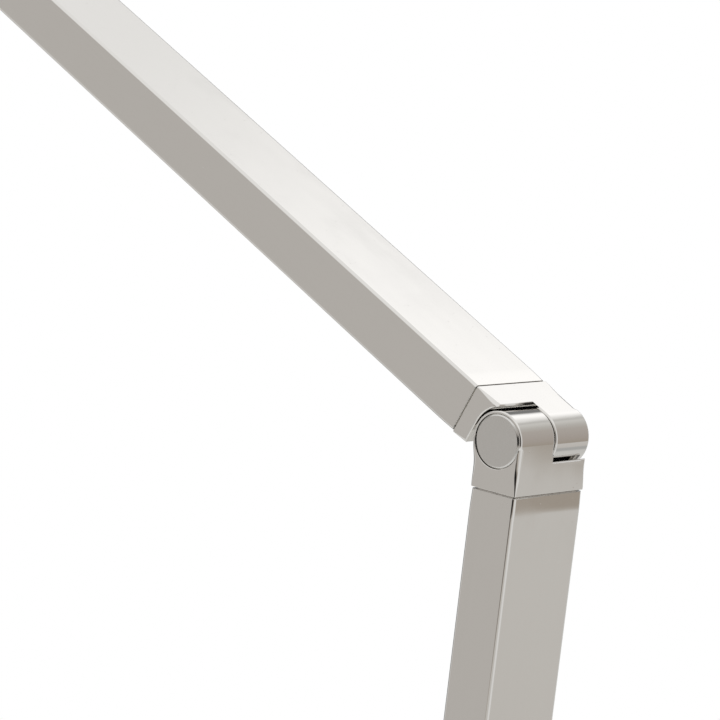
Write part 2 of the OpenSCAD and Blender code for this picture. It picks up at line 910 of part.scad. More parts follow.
// Threaded body: its lip keeps the button in, and its shoulder ends the button's travel
module switch_body() {
    color(nickel)
        translate([-switch_x, 0, 0])
            difference() {
                union() {
                    translate([0, 0, switch_bottom])
                        cylinder(r = barrel_r, h = switch_deep);
                    translate([0, 0, base_h])
                        cylinder(r = bezel_r, h = bezel_t);
                }
                translate([0, 0, switch_bottom + switch_floor])
                    cylinder(r = spring_bore_r, h = switch_deep);
                translate([0, 0, shoulder_z])
                    cylinder(r = barrel_in_r, h = lip_low - shoulder_z);
                translate([0, 0, lip_low - cut])
                    cylinder(r = button_r + button_gap, h = base_h + bezel_t - lip_low + 2 * cut);
            }
}

module switch_ring_nut() {
    color(steel)
        translate([-switch_x, 0, ring_top - ring_t])
            difference() {
                cylinder(r = ring_r, h = ring_t, $fn = 6);
                translate([0, 0, -cut])
                    cylinder(r = barrel_r + screw_gap, h = ring_t + 2 * cut);
            }
}

module switch_button() {
    color(nickel)
        translate([-switch_x, 0, 0])
            rotate_extrude()
                polygon([
                    [0, button_floor], [button_r + skirt_out, button_floor],
                    [button_r + skirt_out, button_floor + skirt_t],
                    [button_r, button_floor + skirt_t], [button_r, base_h + button_up - disc_bevel],
                    [button_r - disc_bevel, base_h + button_up], [0, base_h + button_up]
                ]);
}

// Return spring: one wire wound in a helix between the body's floor and the button
module switch_spring() {
    sides = 6;
    steps = spring_turns * 12;
    climb = spring_high - spring_low;
    rings = [for (i = [0 : steps])
        let (turn = 360 * spring_turns * i / steps)
        [for (k = [0 : sides - 1])
            let (r = spring_r + spring_wire / 2 * cos(360 * k / sides))
            [r * cos(turn), r * sin(turn),
             spring_low + climb * i / steps + spring_wire / 2 * sin(360 * k / sides)]]];
    color(steel)
        translate([-switch_x, 0, 0])
            ringed_tube(rings);
}

// ---- Base block and the three knuckles ----

module base_knuckle() {
    color(nickel)
        difference() {
            at_base_block() block_body(neck_h);
            at_base_block() bolt_side_cuts();
            at_base_block() lead_bore(neck_h + cut);
            neck_bolt_places()
                translate([0, 0, base_h - cut])
                    cylinder(r = neck_bolt_r + screw_gap, h = cut + neck_bolt_in);
        }
}

module base_pivot_bolt() { at_base_block() pivot_bolt(base_fold_min); }
module base_friction_washer() { at_base_block() friction_washer(); }
module base_cone_washer() { at_base_block() cone_washer(); }
module base_pivot_nut() { at_base_block() pivot_nut(); }
module base_stop_pin() { at_base_block() stop_pin(); }

module lower_foot_knuckle() { at_lower_foot() nut_side_block(base_fold_min); }
module base_pivot_cap() { at_lower_foot() pivot_cap(); }
module lower_elbow_knuckle() { at_lower_top() bolt_side_block(); }

module lower_tube() {
    color(nickel)
        difference() {
            at_lower_foot() plain_tube(lower_l - seam);
            at_lower_foot() grub_holes(0);
            at_lower_top() grub_holes(0);
        }
}

module lower_grub_screws() {
    color(steel) {
        at_lower_foot() grub_screws();
        at_lower_top() grub_screws();
    }
}

module lower_lead() {
    clear = bolt_r + lead_r + end_gap;
    bore_end = seam + spigot_l;
    at_lower_foot()
        lead_route([
            [clear, 0, lead_at], [bore_end, 0, lead_at],
            [lower_l - bore_end, 2 * pivot_offset, lead_at],
            [lower_l - clear, 2 * pivot_offset, lead_at]
        ]);
}

module elbow_pivot_bolt() { at_lower_top() pivot_bolt(fold_min); }
module elbow_friction_washer() { at_lower_top() friction_washer(); }
module elbow_cone_washer() { at_lower_top() cone_washer(); }
module elbow_pivot_nut() { at_lower_top() pivot_nut(); }
module elbow_stop_pin() { at_lower_top() stop_pin(); }

module upper_elbow_knuckle() { at_upper_foot() nut_side_block(fold_min); }
module elbow_pivot_cap() { at_upper_foot() pivot_cap(); }
module upper_wrist_knuckle() { at_upper_top() bolt_side_block(); }

module upper_tube() {
    color(nickel)
        difference() {
            at_upper_foot() plain_tube(upper_l - seam);
            at_upper_foot() grub_holes(0);
            at_upper_top() grub_holes(0);
        }
}

module upper_grub_screws() {
    color(steel) {
        at_upper_foot() grub_screws();
        at_upper_top() grub_screws();
    }
}

module upper_lead() {
    clear = bolt_r + lead_r + end_gap;
    bore_end = seam + spigot_l;
    at_upper_foot()
        lead_route([
            [clear, 0, lead_at], [bore_end, 0, lead_at],
            [upper_l - bore_end, 0, -lead_at], [upper_l - clear, 0, -lead_at]
        ]);
}

module wrist_pivot_bolt() { at_upper_top() pivot_bolt(fold_min); }
module wrist_friction_washer() { at_upper_top() friction_washer(); }
module wrist_cone_washer() { at_upper_top() cone_washer(); }
module wrist_pivot_nut() { at_upper_top() pivot_nut(); }
module wrist_stop_pin() { at_upper_top() stop_pin(); }

// ---- Light head ----

module head_knuckle() { at_head() nut_side_block(fold_min); }
module wrist_pivot_cap() { at_head() pivot_cap(); }

module head_tube() {
    color(nickel)
        at_head()
            difference() {
                plain_tube(tube_end);
                bar_box(light_from, light_to, inner_y - cut, tube_in_low + cut, window_w);
                grub_holes(0);
            }
}

module head_grub_screws() { color(steel) at_head() grub_screws(); }

module head_lead() {
    tail = 6;
    clear = bolt_r + lead_r + end_gap;
    bore_end = seam + spigot_l;
    at_head()
        lead_route([
            [clear, 0, lead_at], [bore_end, 0, lead_at],
            [opal_from + tail, board_low - lead_r - end_gap, lead_at]
        ]);
}

// Aluminium channel: its web lies on the tube's top wall and its legs stand on the opal sheet
module led_carrier() {
    color([0.80, 0.81, 0.82])
        at_head()
            difference() {
                bar_box(opal_from, tube_end - cap_plug - end_gap, opal_top, tube_in_top, carrier_w);
                bar_box(
                    opal_from - cut, tube_end, opal_top - cut, board_top,
                    carrier_w - 2 * carrier_leg
                );
                cap_screw_places(tube_end)
                    cylinder(r = cap_screw_r + screw_gap, h = cap_screw_l, $fn = 32);
            }
}

module led_board() {
    color([0.93, 0.93, 0.90])
        at_head()
            bar_box(opal_from, light_to, board_low, board_top, board_w);
}

module led_chips() {
    color([0.95, 0.88, 0.45])
        at_head()
            for (i = [0 : led_count - 1])
                translate([light_from + led_pitch * (i + 0.5), board_low - led_h / 2, 0])
                    cube([led_size, led_h, led_size], center = true);
}

module opal_sheet() {
    color([0.97, 0.97, 0.95])
        at_head()
            bar_box(opal_from, opal_to, tube_in_low, opal_top, carrier_w);
}

// The end cap's screws run back along the head, beside the web of the carrier
cap_screw_y = board_top - cap_screw_r - screw_gap;
module cap_screw_places(x) {
    for (z = [-1, 1])
        translate([x, cap_screw_y, z * cap_screw_side])
            rotate([0, -90, 0])
                children();
}

module head_end_cap() {
    plug_t = bar_t - 2 * tube_wall - 2 * slide_gap;
    color(nickel)
        at_head()
            difference() {
                union() {
                    bar_solid(tube_end, head_l, bar_t, bar_w, tube_corner);
                    translate([tube_end - cap_plug, pivot_offset - plug_t / 2, -carrier_w / 2])
                        cube([cap_plug + cut, plug_t, carrier_w]);
                }
                cap_screw_places(head_l)
                    countersink(cap_screw_r, cap_t + cap_plug + cut);
            }
}

module end_cap_screws() {
    color(steel)
        at_head()
            cap_screw_places(head_l)
                countersunk(cap_screw_r, cap_screw_l);
}

base_cover();
base_weight();
base_plate();
base_pad();
plate_screws();
neck_bolts();
cord_bush();
terminal_block();
led_driver();
driver_screws();
base_wiring();
switch_body();
switch_ring_nut();
switch_spring();
switch_button();
base_knuckle();
base_pivot_bolt();
base_friction_washer();
base_cone_washer();
base_pivot_nut();
base_stop_pin();
lower_foot_knuckle();
base_pivot_cap();
lower_tube();
lower_elbow_knuckle();
lower_grub_screws();
lower_lead();
elbow_pivot_bolt();
elbow_friction_washer();
elbow_cone_washer();
elbow_pivot_nut();
elbow_stop_pin();
upper_elbow_knuckle();
elbow_pivot_cap();
upper_tube();
upper_wrist_knuckle();
upper_grub_screws();
upper_lead();
wrist_pivot_bolt();
wrist_friction_washer();
wrist_cone_washer();
wrist_pivot_nut();
wrist_stop_pin();
head_knuckle();
wrist_pivot_cap();
head_tube();
head_grub_screws();
head_lead();
led_carrier();
led_board();
led_chips();
opal_sheet();
head_end_cap();
end_cap_screws();
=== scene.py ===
# Accordion desk lamp in polished nickel: three flat bars folded at three alike knuckles, on a
# weighted slab, with a strip of LEDs in the last bar. Metres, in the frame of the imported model.
import json
from math import acos, atan2, cos, degrees, hypot, pi, radians, sin

import bmesh
import bpy
from mathutils import Matrix, Vector

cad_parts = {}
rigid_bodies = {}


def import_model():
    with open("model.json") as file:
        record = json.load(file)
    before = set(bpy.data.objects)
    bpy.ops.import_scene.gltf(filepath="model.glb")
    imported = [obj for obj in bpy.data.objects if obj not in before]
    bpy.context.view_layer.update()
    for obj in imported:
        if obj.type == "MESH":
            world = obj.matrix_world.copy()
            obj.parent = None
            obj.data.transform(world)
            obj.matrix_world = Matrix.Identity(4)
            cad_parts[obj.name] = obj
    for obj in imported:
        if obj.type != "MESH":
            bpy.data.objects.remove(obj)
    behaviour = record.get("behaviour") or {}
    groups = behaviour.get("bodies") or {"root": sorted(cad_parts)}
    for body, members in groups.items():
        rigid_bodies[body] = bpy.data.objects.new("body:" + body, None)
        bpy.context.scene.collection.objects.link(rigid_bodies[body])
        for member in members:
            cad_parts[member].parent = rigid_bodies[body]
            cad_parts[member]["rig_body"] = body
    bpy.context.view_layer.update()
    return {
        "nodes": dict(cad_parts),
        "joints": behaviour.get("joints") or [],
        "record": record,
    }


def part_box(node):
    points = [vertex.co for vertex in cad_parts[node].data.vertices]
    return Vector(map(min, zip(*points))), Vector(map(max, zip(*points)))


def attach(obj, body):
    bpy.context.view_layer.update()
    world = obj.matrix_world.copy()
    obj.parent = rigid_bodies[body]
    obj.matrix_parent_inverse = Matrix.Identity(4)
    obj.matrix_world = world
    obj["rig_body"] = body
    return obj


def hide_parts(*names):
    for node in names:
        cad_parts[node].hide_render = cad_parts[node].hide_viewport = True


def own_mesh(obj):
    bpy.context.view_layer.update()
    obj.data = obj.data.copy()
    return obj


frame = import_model()

# ---- Viewpoint -----------------------------------------------------------------------------
# A long lens looks at the elbow from the front right, a little above it, so that the elbow
# fills the lower right of the frame and both bars run out of it.

pivots = {j["name"]: Vector(j["pos_m"]) for j in frame["joints"] if "pos_m" in j}
base, elbow, wrist = (pivots[name] for name in ("base_hinge", "elbow_hinge", "wrist_hinge"))
camera_from_elbow = Vector((0.69965, -0.91389, 0.09071))
camera_tilt, camera_turn = radians(3.1327), radians(40.4765)
camera_data = bpy.data.cameras.new("viewpoint")
camera_data.sensor_width = 36
camera_data.lens = 161.9
camera = bpy.data.objects.new("viewpoint", camera_data)
camera.location = elbow + camera_from_elbow
camera.rotation_euler = (pi / 2 - camera_tilt, 0, camera_turn)
bpy.context.scene.collection.objects.link(camera)
bpy.context.scene.camera = camera
bpy.context.scene.view_settings.view_transform = "Standard"

# ---- Studio --------------------------------------------------------------------------------
# The room that the mirror finish shows: warm grey walls over a paler floor, a white ceiling
# with a softbox, a black flag beside the viewer that draws the dark lines along the rounded
# corners, bright strips on both sides of it, and a grey screen at the back.


class Value:
    """An output of a node; sums written with it become maths nodes of the same tree."""

    def __init__(self, socket):
        self.socket = socket
        self.tree = socket.id_data

    def __add__(self, other):
        return calc("ADD", self, other)

    def __radd__(self, other):
        return calc("ADD", other, self)

    def __sub__(self, other):
        return calc("SUBTRACT", self, other)

    def __rsub__(self, other):
        return calc("SUBTRACT", other, self)

    def __mul__(self, other):
        return calc("MULTIPLY", self, other)

    def __truediv__(self, other):
        return calc("DIVIDE", self, other)

    def __pow__(self, other):
        return calc("POWER", self, other)


def put(tree, kind, inputs=None, **settings):
    """A node with its settings and inputs; an input given as a Value is linked."""
    node = tree.nodes.new(kind)
    for name, setting in settings.items():
        setattr(node, name, setting)
    for key, given in (inputs or {}).items():
        if isinstance(given, Value):
            tree.links.new(given.socket, node.inputs[key])
        else:
            node.inputs[key].default_value = given
    return node


def outputs(node):
    return {socket.name: Value(socket) for socket in node.outputs}


def result(tree, kind, inputs=None, output=0, **settings):
    """One output of a node that is put into a tree, or into the tree of a Value."""
    if isinstance(tree, Value):
        tree = tree.tree
    return Value(put(tree, kind, inputs, **settings).outputs[output])


def calc(operation, *values):
    """A maths node in the tree of the first value that isn't a plain number."""
    first = next(v for v in values if isinstance(v, Value))
    return result(first, "ShaderNodeMath", dict(enumerate(values)), operation=operation)


def split(vector):
    """The three coordinates of a vector."""
    return list(outputs(put(vector.tree, "ShaderNodeSeparateXYZ", {0: vector})).values())


def smooth_step(across, low, high, start=0.0, end=1.0):
    return result(across, "ShaderNodeMapRange", {0: across, 1: low, 2: high, 3: start, 4: end},
                  interpolation_type="SMOOTHSTEP")


def band(across, low, high, soft_low, soft_high):
    """1 between two values and 0 outside them, with a soft passage about each."""
    return (smooth_step(across, low - soft_low, low + soft_low) *
            smooth_step(across, high - soft_high, high + soft_high, 1.0, 0.0))


def tinted(factor, under, over):
    """Mix of two colours; a colour is a Value or three numbers."""
    a, b = ((*c, 1) if isinstance(c, tuple) else c for c in (under, over))
    return result(factor, "ShaderNodeMix", {0: factor, 6: a, 7: b}, 2, data_type="RGBA")


world = bpy.data.worlds.new("studio")
bpy.context.scene.world = world
world.use_nodes = True
room = world.node_tree
room.nodes.clear()
toward = result(room, "ShaderNodeTexCoord", output="Generated")
side_x, side_y, height = split(toward)
compass = calc("DEGREES", calc("ARCTAN2", side_y, side_x))


def around(direction, far, near):
    """A round patch about a direction: 0 beyond the far cosine, 1 within the near one."""
    nearness = result(room, "ShaderNodeVectorMath", {0: toward, 1: Vector(direction).normalized()},
                      "Value", operation="DOT_PRODUCT")
    return smooth_step(nearness, far, near)


# heights from -1, straight down, to 1, straight up, with the room's colour at each
levels = ((-1.0, (0.70, 0.70, 0.685)), (-0.52, (0.70, 0.70, 0.685)), (-0.48, (0.50, 0.505, 0.50)),
          (-0.43, (0.50, 0.505, 0.50)), (-0.39, (0.65, 0.63, 0.605)), (-0.262, (0.675, 0.66, 0.64)),
          (-0.256, (0.43, 0.385, 0.335)), (-0.10, (0.47, 0.425, 0.39)), (0.10, (0.50, 0.46, 0.43)),
          (0.30, (0.53, 0.495, 0.465)), (0.42, (0.60, 0.585, 0.56)), (0.52, (0.74, 0.735, 0.715)),
          (0.56, (0.64, 0.635, 0.62)), (0.60, (0.95, 0.95, 0.94)), (0.64, (1.0, 1.0, 1.0)))
ramp = put(room, "ShaderNodeValToRGB", {0: calc("MULTIPLY_ADD", height, 0.5, 0.5)})
stops = ramp.color_ramp.elements
for spare in list(stops)[1:]:
    stops.remove(spare)
for level, colour in levels:
    stop = stops.new(level / 2 + 0.5) if level > -1 else stops[0]
    stop.color = (*colour, 1)
light = tinted(around((-0.606, -0.791, -0.08), 0.80, 0.95), Value(ramp.outputs[0]),
               (0.585, 0.565, 0.545))
# compass angles in degrees from +X towards +Y, their softness, brightness, lowest and highest
for start, end, soft, tone, low, high in (
        (-163, -148, 4, 1.0, -2, 2), (100, 190, 5, 0.24, -0.2, 2), (-190, -165, 4, 0.24, -0.2, 2),
        (68, 96, 4, 0.86, -0.38, 0.26), (-34, 30, 5, 0.86, -2, 2), (-102, -50, 4, 0.015, -0.21, 0.2)):
    part = band(compass, start, end, soft, soft) * band(height, low, high, 0.04, 0.1)
    light = tinted(part, light, (tone, tone, tone))
light = tinted(smooth_step(height, 0.575, 0.615), light, (1.0, 1.0, 1.0))
softbox = around((0.05, 0.79, 0.60), 0.93, 0.985) * smooth_step(calc("ABSOLUTE", compass), 80, 96)
light = tinted(softbox, light, (1.35, 1.35, 1.36))
rays = outputs(put(room, "ShaderNodeLightPath"))
mirrored = calc("MAXIMUM", rays["Is Glossy Ray"], rays["Is Transmission Ray"])
light = tinted(mirrored, (0.85, 0.85, 0.85), light)
light = tinted(rays["Is Camera Ray"], light, (1.0, 1.0, 1.0))
light = result(room, "ShaderNodeBackground", {"Color": light})
put(room, "ShaderNodeOutputWorld", {"Surface": light})

lamp_data = bpy.data.lights.new("ceiling_softbox", "AREA")
lamp_data.size = 1.6
lamp_data.energy = 14
lamp = bpy.data.objects.new("ceiling_softbox", lamp_data)
lamp.location = (-0.5, -0.4, 2.4)
lamp.rotation_euler = (0.16, -0.2, 0)
lamp.visible_glossy = False
bpy.context.scene.collection.objects.link(lamp)


def bmesh_of(*meshes):
    work = bmesh.new()
    for mesh in meshes:
        work.from_mesh(mesh)
    return work


def written(work, mesh=None):
    """The bmesh as a smooth mesh, a new one unless one is given."""
    mesh = mesh or bpy.data.meshes.new("mesh")
    work.to_mesh(mesh)
    work.free()
    mesh.polygons.foreach_set("use_smooth", [True] * len(mesh.polygons))
    return mesh


def new_mesh(work):
    """A mesh from a bmesh: doubles merged, normals outwards, shaded smooth."""
    bmesh.ops.remove_doubles(work, verts=work.verts, dist=1e-5)
    bmesh.ops.recalc_face_normals(work, faces=work.faces)
    return written(work)


def new_object(name, mesh):
    piece = bpy.data.objects.new(name, mesh)
    bpy.context.scene.collection.objects.link(piece)
    return piece


# near the lamp the floor is plain paint that takes its shadow; further off the viewer sees it
# fade to white, and the mirror finish sees the room's own floor through it
paint_disc = bmesh.new()
bmesh.ops.create_circle(paint_disc, cap_ends=True, segments=96, radius=2.2)
floor = new_object("floor", new_mesh(paint_disc))
floor_look = bpy.data.materials.new("floor_paint")
floor_look.use_nodes = True
tree = floor_look.node_tree
tree.nodes.clear()
place = result(tree, "ShaderNodeTexCoord", output="Object")
away = result(tree, "ShaderNodeVectorMath", {0: place}, "Value", operation="LENGTH")
paint = result(tree, "ShaderNodeBsdfDiffuse", {"Color": (0.86, 0.86, 0.855, 1)})
glow = result(tree, "ShaderNodeEmission", {"Color": (1, 1, 1, 1)})
clear = result(tree, "ShaderNodeBsdfTransparent")
rays = outputs(put(tree, "ShaderNodeLightPath"))
seen = smooth_step(away, 0.35, 1.3) * rays["Is Camera Ray"]
open_floor = smooth_step(away, 0.35, 0.7) * rays["Is Glossy Ray"]
surface = result(tree, "ShaderNodeMixShader", {0: seen, 1: paint, 2: glow})
surface = result(tree, "ShaderNodeMixShader", {0: open_floor, 1: surface, 2: clear})
put(tree, "ShaderNodeOutputMaterial", {"Surface": surface})
floor.data.materials.append(floor_look)

# ---- Base cover ----------------------------------------------------------------------------
# A pressed and brazed slab shell, 220 x 150 mm, its top edge eased all round, polished on the
# wheel and nickel plated. The wheel leaves faint lines, shallow waves, rare pits and a haze.


def shader_group(name, inputs, results):
    """A group of plain number sockets and its inputs; an input given as None is a vector."""
    group = bpy.data.node_groups.new(name, "ShaderNodeTree")
    for socket, default in inputs.items():
        kind = "NodeSocketVector" if default is None else "NodeSocketFloat"
        made = group.interface.new_socket(socket, in_out="INPUT", socket_type=kind)
        if default is not None:
            made.default_value = default
    for socket in results:
        group.interface.new_socket(socket, in_out="OUTPUT", socket_type="NodeSocketFloat")
    return group, outputs(group.nodes.new("NodeGroupInput"))


def noise(point, scale, detail, roughness=0.5):
    return result(point, "ShaderNodeTexNoise", {"Vector": point, "Scale": scale, "Detail": detail,
                                                "Roughness": roughness}, "Fac")


def stretched(point, factors):
    return result(point, "ShaderNodeVectorMath", {0: point, 1: factors}, operation="MULTIPLY")


def swing(pattern, amount):
    """A 0 to 1 pattern as a plus or minus amount."""
    return (pattern - 0.5) * amount


wheel_polish, given = shader_group(
    "wheel_polish", {"Point": None, "Waves": 1.0, "Haze": 0.05, "Least roughness": 0.05},
    ("Height", "Roughness", "Shade"))
point = given["Point"]
lines = noise(stretched(point, (14, 900, 900)), 1.0, 3.0, 0.65)
swell = noise(stretched(point, (26, 60, 60)), 1.0, 1.0)
cells = result(point, "ShaderNodeTexVoronoi", {"Vector": point, "Scale": 420.0}, "Distance")
rare = smooth_step(noise(point, 170.0, 1.0), 0.60, 0.66)
pits = smooth_step(cells, 0.05, 0.13, 1.0, 0.0) * rare
cloud = noise(point, 46.0, 4.0, 0.6)
relief = swing(lines, 1.6e-6) + swing(swell, 5e-5) * given["Waves"] - pits * 1.2e-5
hazy = smooth_step(cloud, 0.38, 0.72) * given["Haze"]
rough = given["Least roughness"] + hazy + pits * 0.3
shade = swing(lines, 0.22) + swing(cloud, 0.2) + 0.5 - pits
put(wheel_polish, "NodeGroupOutput", {"Height": relief, "Roughness": rough, "Shade": shade})


def new_look(name):
    """A material, its Principled shader and its Object coordinates."""
    material = bpy.data.materials.new(name)
    material.use_nodes = True
    tree = material.node_tree
    return material, tree.nodes["Principled BSDF"], result(tree, "ShaderNodeTexCoord", output="Object")


def finish(shader, colour, roughness, height, metallic=0.0):
    """Links a pattern's colour, roughness and relief to a shader."""
    relief = result(height, "ShaderNodeBump", {"Height": height, "Distance": 1.0})
    for name, pattern in (("Base Color", colour), ("Roughness", roughness), ("Normal", relief)):
        pattern.tree.links.new(pattern.socket, shader.inputs[name])
    shader.inputs["Metallic"].default_value = metallic


def polished(name, angle=0.0, **amounts):
    """Polished nickel whose wheel lines run at an angle in the plane of the bars."""
    material, metal, point = new_look(name)
    along = result(point, "ShaderNodeMapping", {"Vector": point, "Rotation": (0, radians(angle), 0)})
    inputs = {word.replace("_", " "): amount for word, amount in amounts.items()}
    marks = outputs(put(point.tree, "ShaderNodeGroup", {"Point": along, **inputs},
                        node_tree=wheel_polish))
    colour = tinted(marks["Shade"], (0.685, 0.668, 0.640), (0.760, 0.745, 0.718))
    finish(metal, colour, marks["Roughness"], marks["Height"], 1.0)
    return material


def evaluated(piece):
    """The piece's mesh with its modifiers applied; the piece itself goes."""
    bpy.context.view_layer.update()
    mesh = bpy.data.meshes.new_from_object(
        piece.evaluated_get(bpy.context.evaluated_depsgraph_get()))
    bpy.data.objects.remove(piece)
    return mesh


# in square millimetres: a flat over BROAD_FLAT takes no normal from its neighbours, and no face
# counts for more than HEAVIEST; a flat that is narrow for its longest edge is a strip
BROAD_FLAT, HEAVIEST, NARROW = 150.0, 100.0, 0.45


def flat_shaded(mesh, least=4.0):
    """Smooth shading in which a flat of at least this area keeps its own normal right up to its
    edges, so that it stays flat beside its roundings; the mesh is in millimetres."""
    work = bmesh_of(mesh)
    bmesh.ops.dissolve_limit(work, angle_limit=radians(0.05), verts=work.verts, edges=work.edges,
                             delimit={"MATERIAL"})
    bmesh.ops.triangulate(work, faces=[f for f in work.faces if len(f.verts) > 4])
    work.normal_update()
    broad = {}                       # the area of the flat that a face is part of, 0 for a strip
    for face in work.faces:
        if face in broad:
            continue
        area, longest, queue, seen = 0.0, 0.0, [face], {face}
        while queue:
            part = queue.pop()
            area += part.calc_area()
            for edge in part.edges:
                longest = max(longest, edge.calc_length())
                for other in edge.link_faces:
                    if other not in seen and other.normal.dot(face.normal) > 0.99999:
                        seen.add(other)
                        queue.append(other)
        strip = area < least or area < NARROW * longest
        broad.update({part: 0.0 if strip else area for part in seen})
    normals = []
    for face in work.faces:
        for corner in face.loops:
            near = corner.vert.link_faces
            large = [face] if broad[face] > BROAD_FLAT else [f for f in near if broad[f]]
            if broad[face]:
                large = [f for f in large if f.normal.dot(face.normal) > 0.99]
            normals.append(sum((f.normal * min(f.calc_area(), HEAVIEST) for f in large or near),
                               Vector()).normalized())
    written(work, mesh)
    mesh.normals_split_custom_set(normals)
    return mesh


to_metres = Matrix.Scale(0.001, 4)


def finished(name, mesh, look, node, place=to_metres):
    """A piece from a mesh in millimetres, put in its place and standing for its CAD node."""
    mesh.transform(place)
    if look is not None:
        mesh.materials.clear()
        mesh.materials.append(look)
    piece = new_object(name, mesh)
    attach(piece, frame["nodes"][node]["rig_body"])
    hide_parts(node)
    return piece


def cad_mesh(node):
    """A CAD node's mesh in millimetres, with its loose triangles joined up."""
    mesh = frame["nodes"][node].data.copy()
    mesh.materials.clear()
    work = bmesh_of(mesh)
    bmesh.ops.scale(work, vec=(1000, 1000, 1000), verts=work.verts)
    bmesh.ops.remove_doubles(work, verts=work.verts, dist=1e-3)
    return written(work, mesh)


def through(rings, closed=False):
    """A solid through rings of points, with flat ends unless it closes on itself."""
    work = bmesh.new()
    rows = [[work.verts.new(p) for p in ring] for ring in rings]
    count = len(rows[0])
    for low, high in list(zip(rows, rows[1:])) + ([(rows[-1], rows[0])] if closed else []):
        for i in range(count):
            j = (i + 1) % count
            work.faces.new((low[i], low[j], high[j], high[i]))
    if not closed:
        work.faces.new(rows[0][::-1])
        work.faces.new(rows[-1])
    bmesh.ops.remove_doubles(work, verts=work.verts, dist=1e-5)
    bmesh.ops.dissolve_degenerate(work, dist=1e-5, edges=work.edges)
    return new_mesh(work)


def carved(mesh, *steps):
    """The mesh after a chain of steps, each an operation and the mesh that it uses."""
    for operation, tool_mesh in steps:
        work, tool = new_object("work", mesh), new_object("tool", tool_mesh)
        step = work.modifiers.new(operation, "BOOLEAN")
        step.operation, step.object, step.solver = operation, tool, "EXACT"
        mesh = evaluated(work)
        bpy.data.objects.remove(tool)
        clean = bmesh_of(mesh)
        bmesh.ops.remove_doubles(clean, verts=clean.verts, dist=1e-3)
        bmesh.ops.dissolve_degenerate(clean, dist=1e-4, edges=clean.edges)
        written(clean, mesh)
    return mesh


def rounded(core_a, core_b, r, steps):
    """Outline of a rectangle with round corners, whose centres lie at a core's corners."""
    return [(a * core_a + r * cos(radians(start + 90 * k / steps)),
             b * core_b + r * sin(radians(start + 90 * k / steps)))
            for a, b, start in ((1, 1, 0), (-1, 1, 90), (-1, -1, 180), (1, -1, 270))
            for k in range(steps + 1)]


SLAB_CORNER, SLAB_EASE, FOOT_EASE, HAIR = 4.0, 1.0, 0.3, 0.02
slab_low, slab_high = (1000 * c for c in map(Vector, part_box("base_cover")))


def slab_ring(inset, z):
    """Plan of the slab with its round corners, drawn in by an inset."""
    return [(x, y, z) for x, y in rounded(slab_high.x - SLAB_CORNER, slab_high.y - SLAB_CORNER,
                                          SLAB_CORNER - inset, 12)]


# the cover's own holes and cavity, within an outline whose edges are eased; its top and sides
# lie a hair inside the cover's, so that no two skins coincide
outline = [slab_ring(FOOT_EASE, slab_low.z - z) for z in (1, 0)]
outline += [slab_ring(HAIR, z) for z in (slab_low.z + FOOT_EASE, slab_high.z - SLAB_EASE)]
outline += [slab_ring(HAIR + SLAB_EASE * (1 - cos(a)), slab_high.z - HAIR - SLAB_EASE * (1 - sin(a)))
            for a in (radians(15 * k) for k in range(1, 7))]
finished("slab_cover", flat_shaded(carved(cad_mesh("base_cover"), ("INTERSECT", through(outline)))),
         polished("slab_nickel", Haze=0.03, Waves=0.7), "base_cover")

# ---- Base weight ---------------------------------------------------------------------------
# A grey iron casting that fills the cover, with pockets for the driver, the entry, the switch
# and the leads. Sand cast, tumbled and dipped in black lacquer.

grained, given = shader_group("grain", {"Point": None, "Scale": 1000.0, "Speckle": 0.5},
                              ("Shade", "Height"))
point, speckle = given["Point"], given["Speckle"]
fine = noise(point, given["Scale"], 4.0, 0.6)
lumps = result(point, "ShaderNodeTexVoronoi", {"Vector": point, "Scale": given["Scale"]}, "Distance")
mixed = smooth_step(lumps, 0.1, 0.7) * speckle + fine * (1.0 - speckle)
put(grained, "NodeGroupOutput", {"Shade": mixed, "Height": fine})


def grainy(name, dark, pale, roughness, scale, depth, speckle=0.4, metallic=0.0, streak=None):
    """A finish whose colour, gloss and relief follow one grain; streak stretches it."""
    material, shader, point = new_look(name)
    if streak is not None:
        point = stretched(point, streak)
    grain = outputs(put(point.tree, "ShaderNodeGroup",
                        {"Point": point, "Scale": scale, "Speckle": speckle}, node_tree=grained))
    colour = tinted(smooth_step(grain["Shade"], 0.25, 0.75), dark, pale)
    finish(shader, colour, roughness + swing(grain["Shade"], 0.16), swing(grain["Height"], depth),
           metallic)
    return material


def redressed(node, look):
    """A CAD node whose shape is right, with a better material."""
    frame["nodes"][node].data.materials.clear()
    frame["nodes"][node].data.materials.append(look)


redressed("base_weight", grainy("cast_iron_black", (0.018, 0.018, 0.019), (0.05, 0.05, 0.052),
                                0.55, 900, 1.2e-4))

# ---- Bottom plate, its screws and the pad ----------------------------------------------------
# A zinc-plated steel plate closes the cover. Four countersunk socket screws go through it into
# the weight, two short ones into the driver's tabs; a punched rubber pad is glued under it.

redressed("base_plate", grainy("zinc_plated_steel", (0.50, 0.51, 0.53), (0.66, 0.67, 0.69), 0.33,
                               260, 6e-6, speckle=0.8, metallic=1.0))


def eased(node, width, least=30, share=None):
    """A CAD node's mesh in millimetres, its convex edges of at least so many degrees rounded;
    share(x, y, z) says how much of the width an edge about that point gets."""
    mesh = cad_mesh(node)
    work = bmesh_of(mesh)
    bmesh.ops.dissolve_limit(work, angle_limit=radians(0.2), verts=work.verts, edges=work.edges)
    weight = work.edges.layers.float.new("bevel_weight_edge")
    for edge in work.edges:
        if edge.is_manifold and edge.is_convex and edge.calc_face_angle() > radians(least):
            middle = (edge.verts[0].co + edge.verts[1].co) / 2
            edge[weight] = share(*middle) if share else 1.0
    piece = new_object(node, written(work, mesh))
    rounding = piece.modifiers.new("eased", "BEVEL")
    rounding.limit_method, rounding.width, rounding.segments = "WEIGHT", width, 3
    rounding.use_clamp_overlap = False
    return flat_shaded(evaluated(piece))


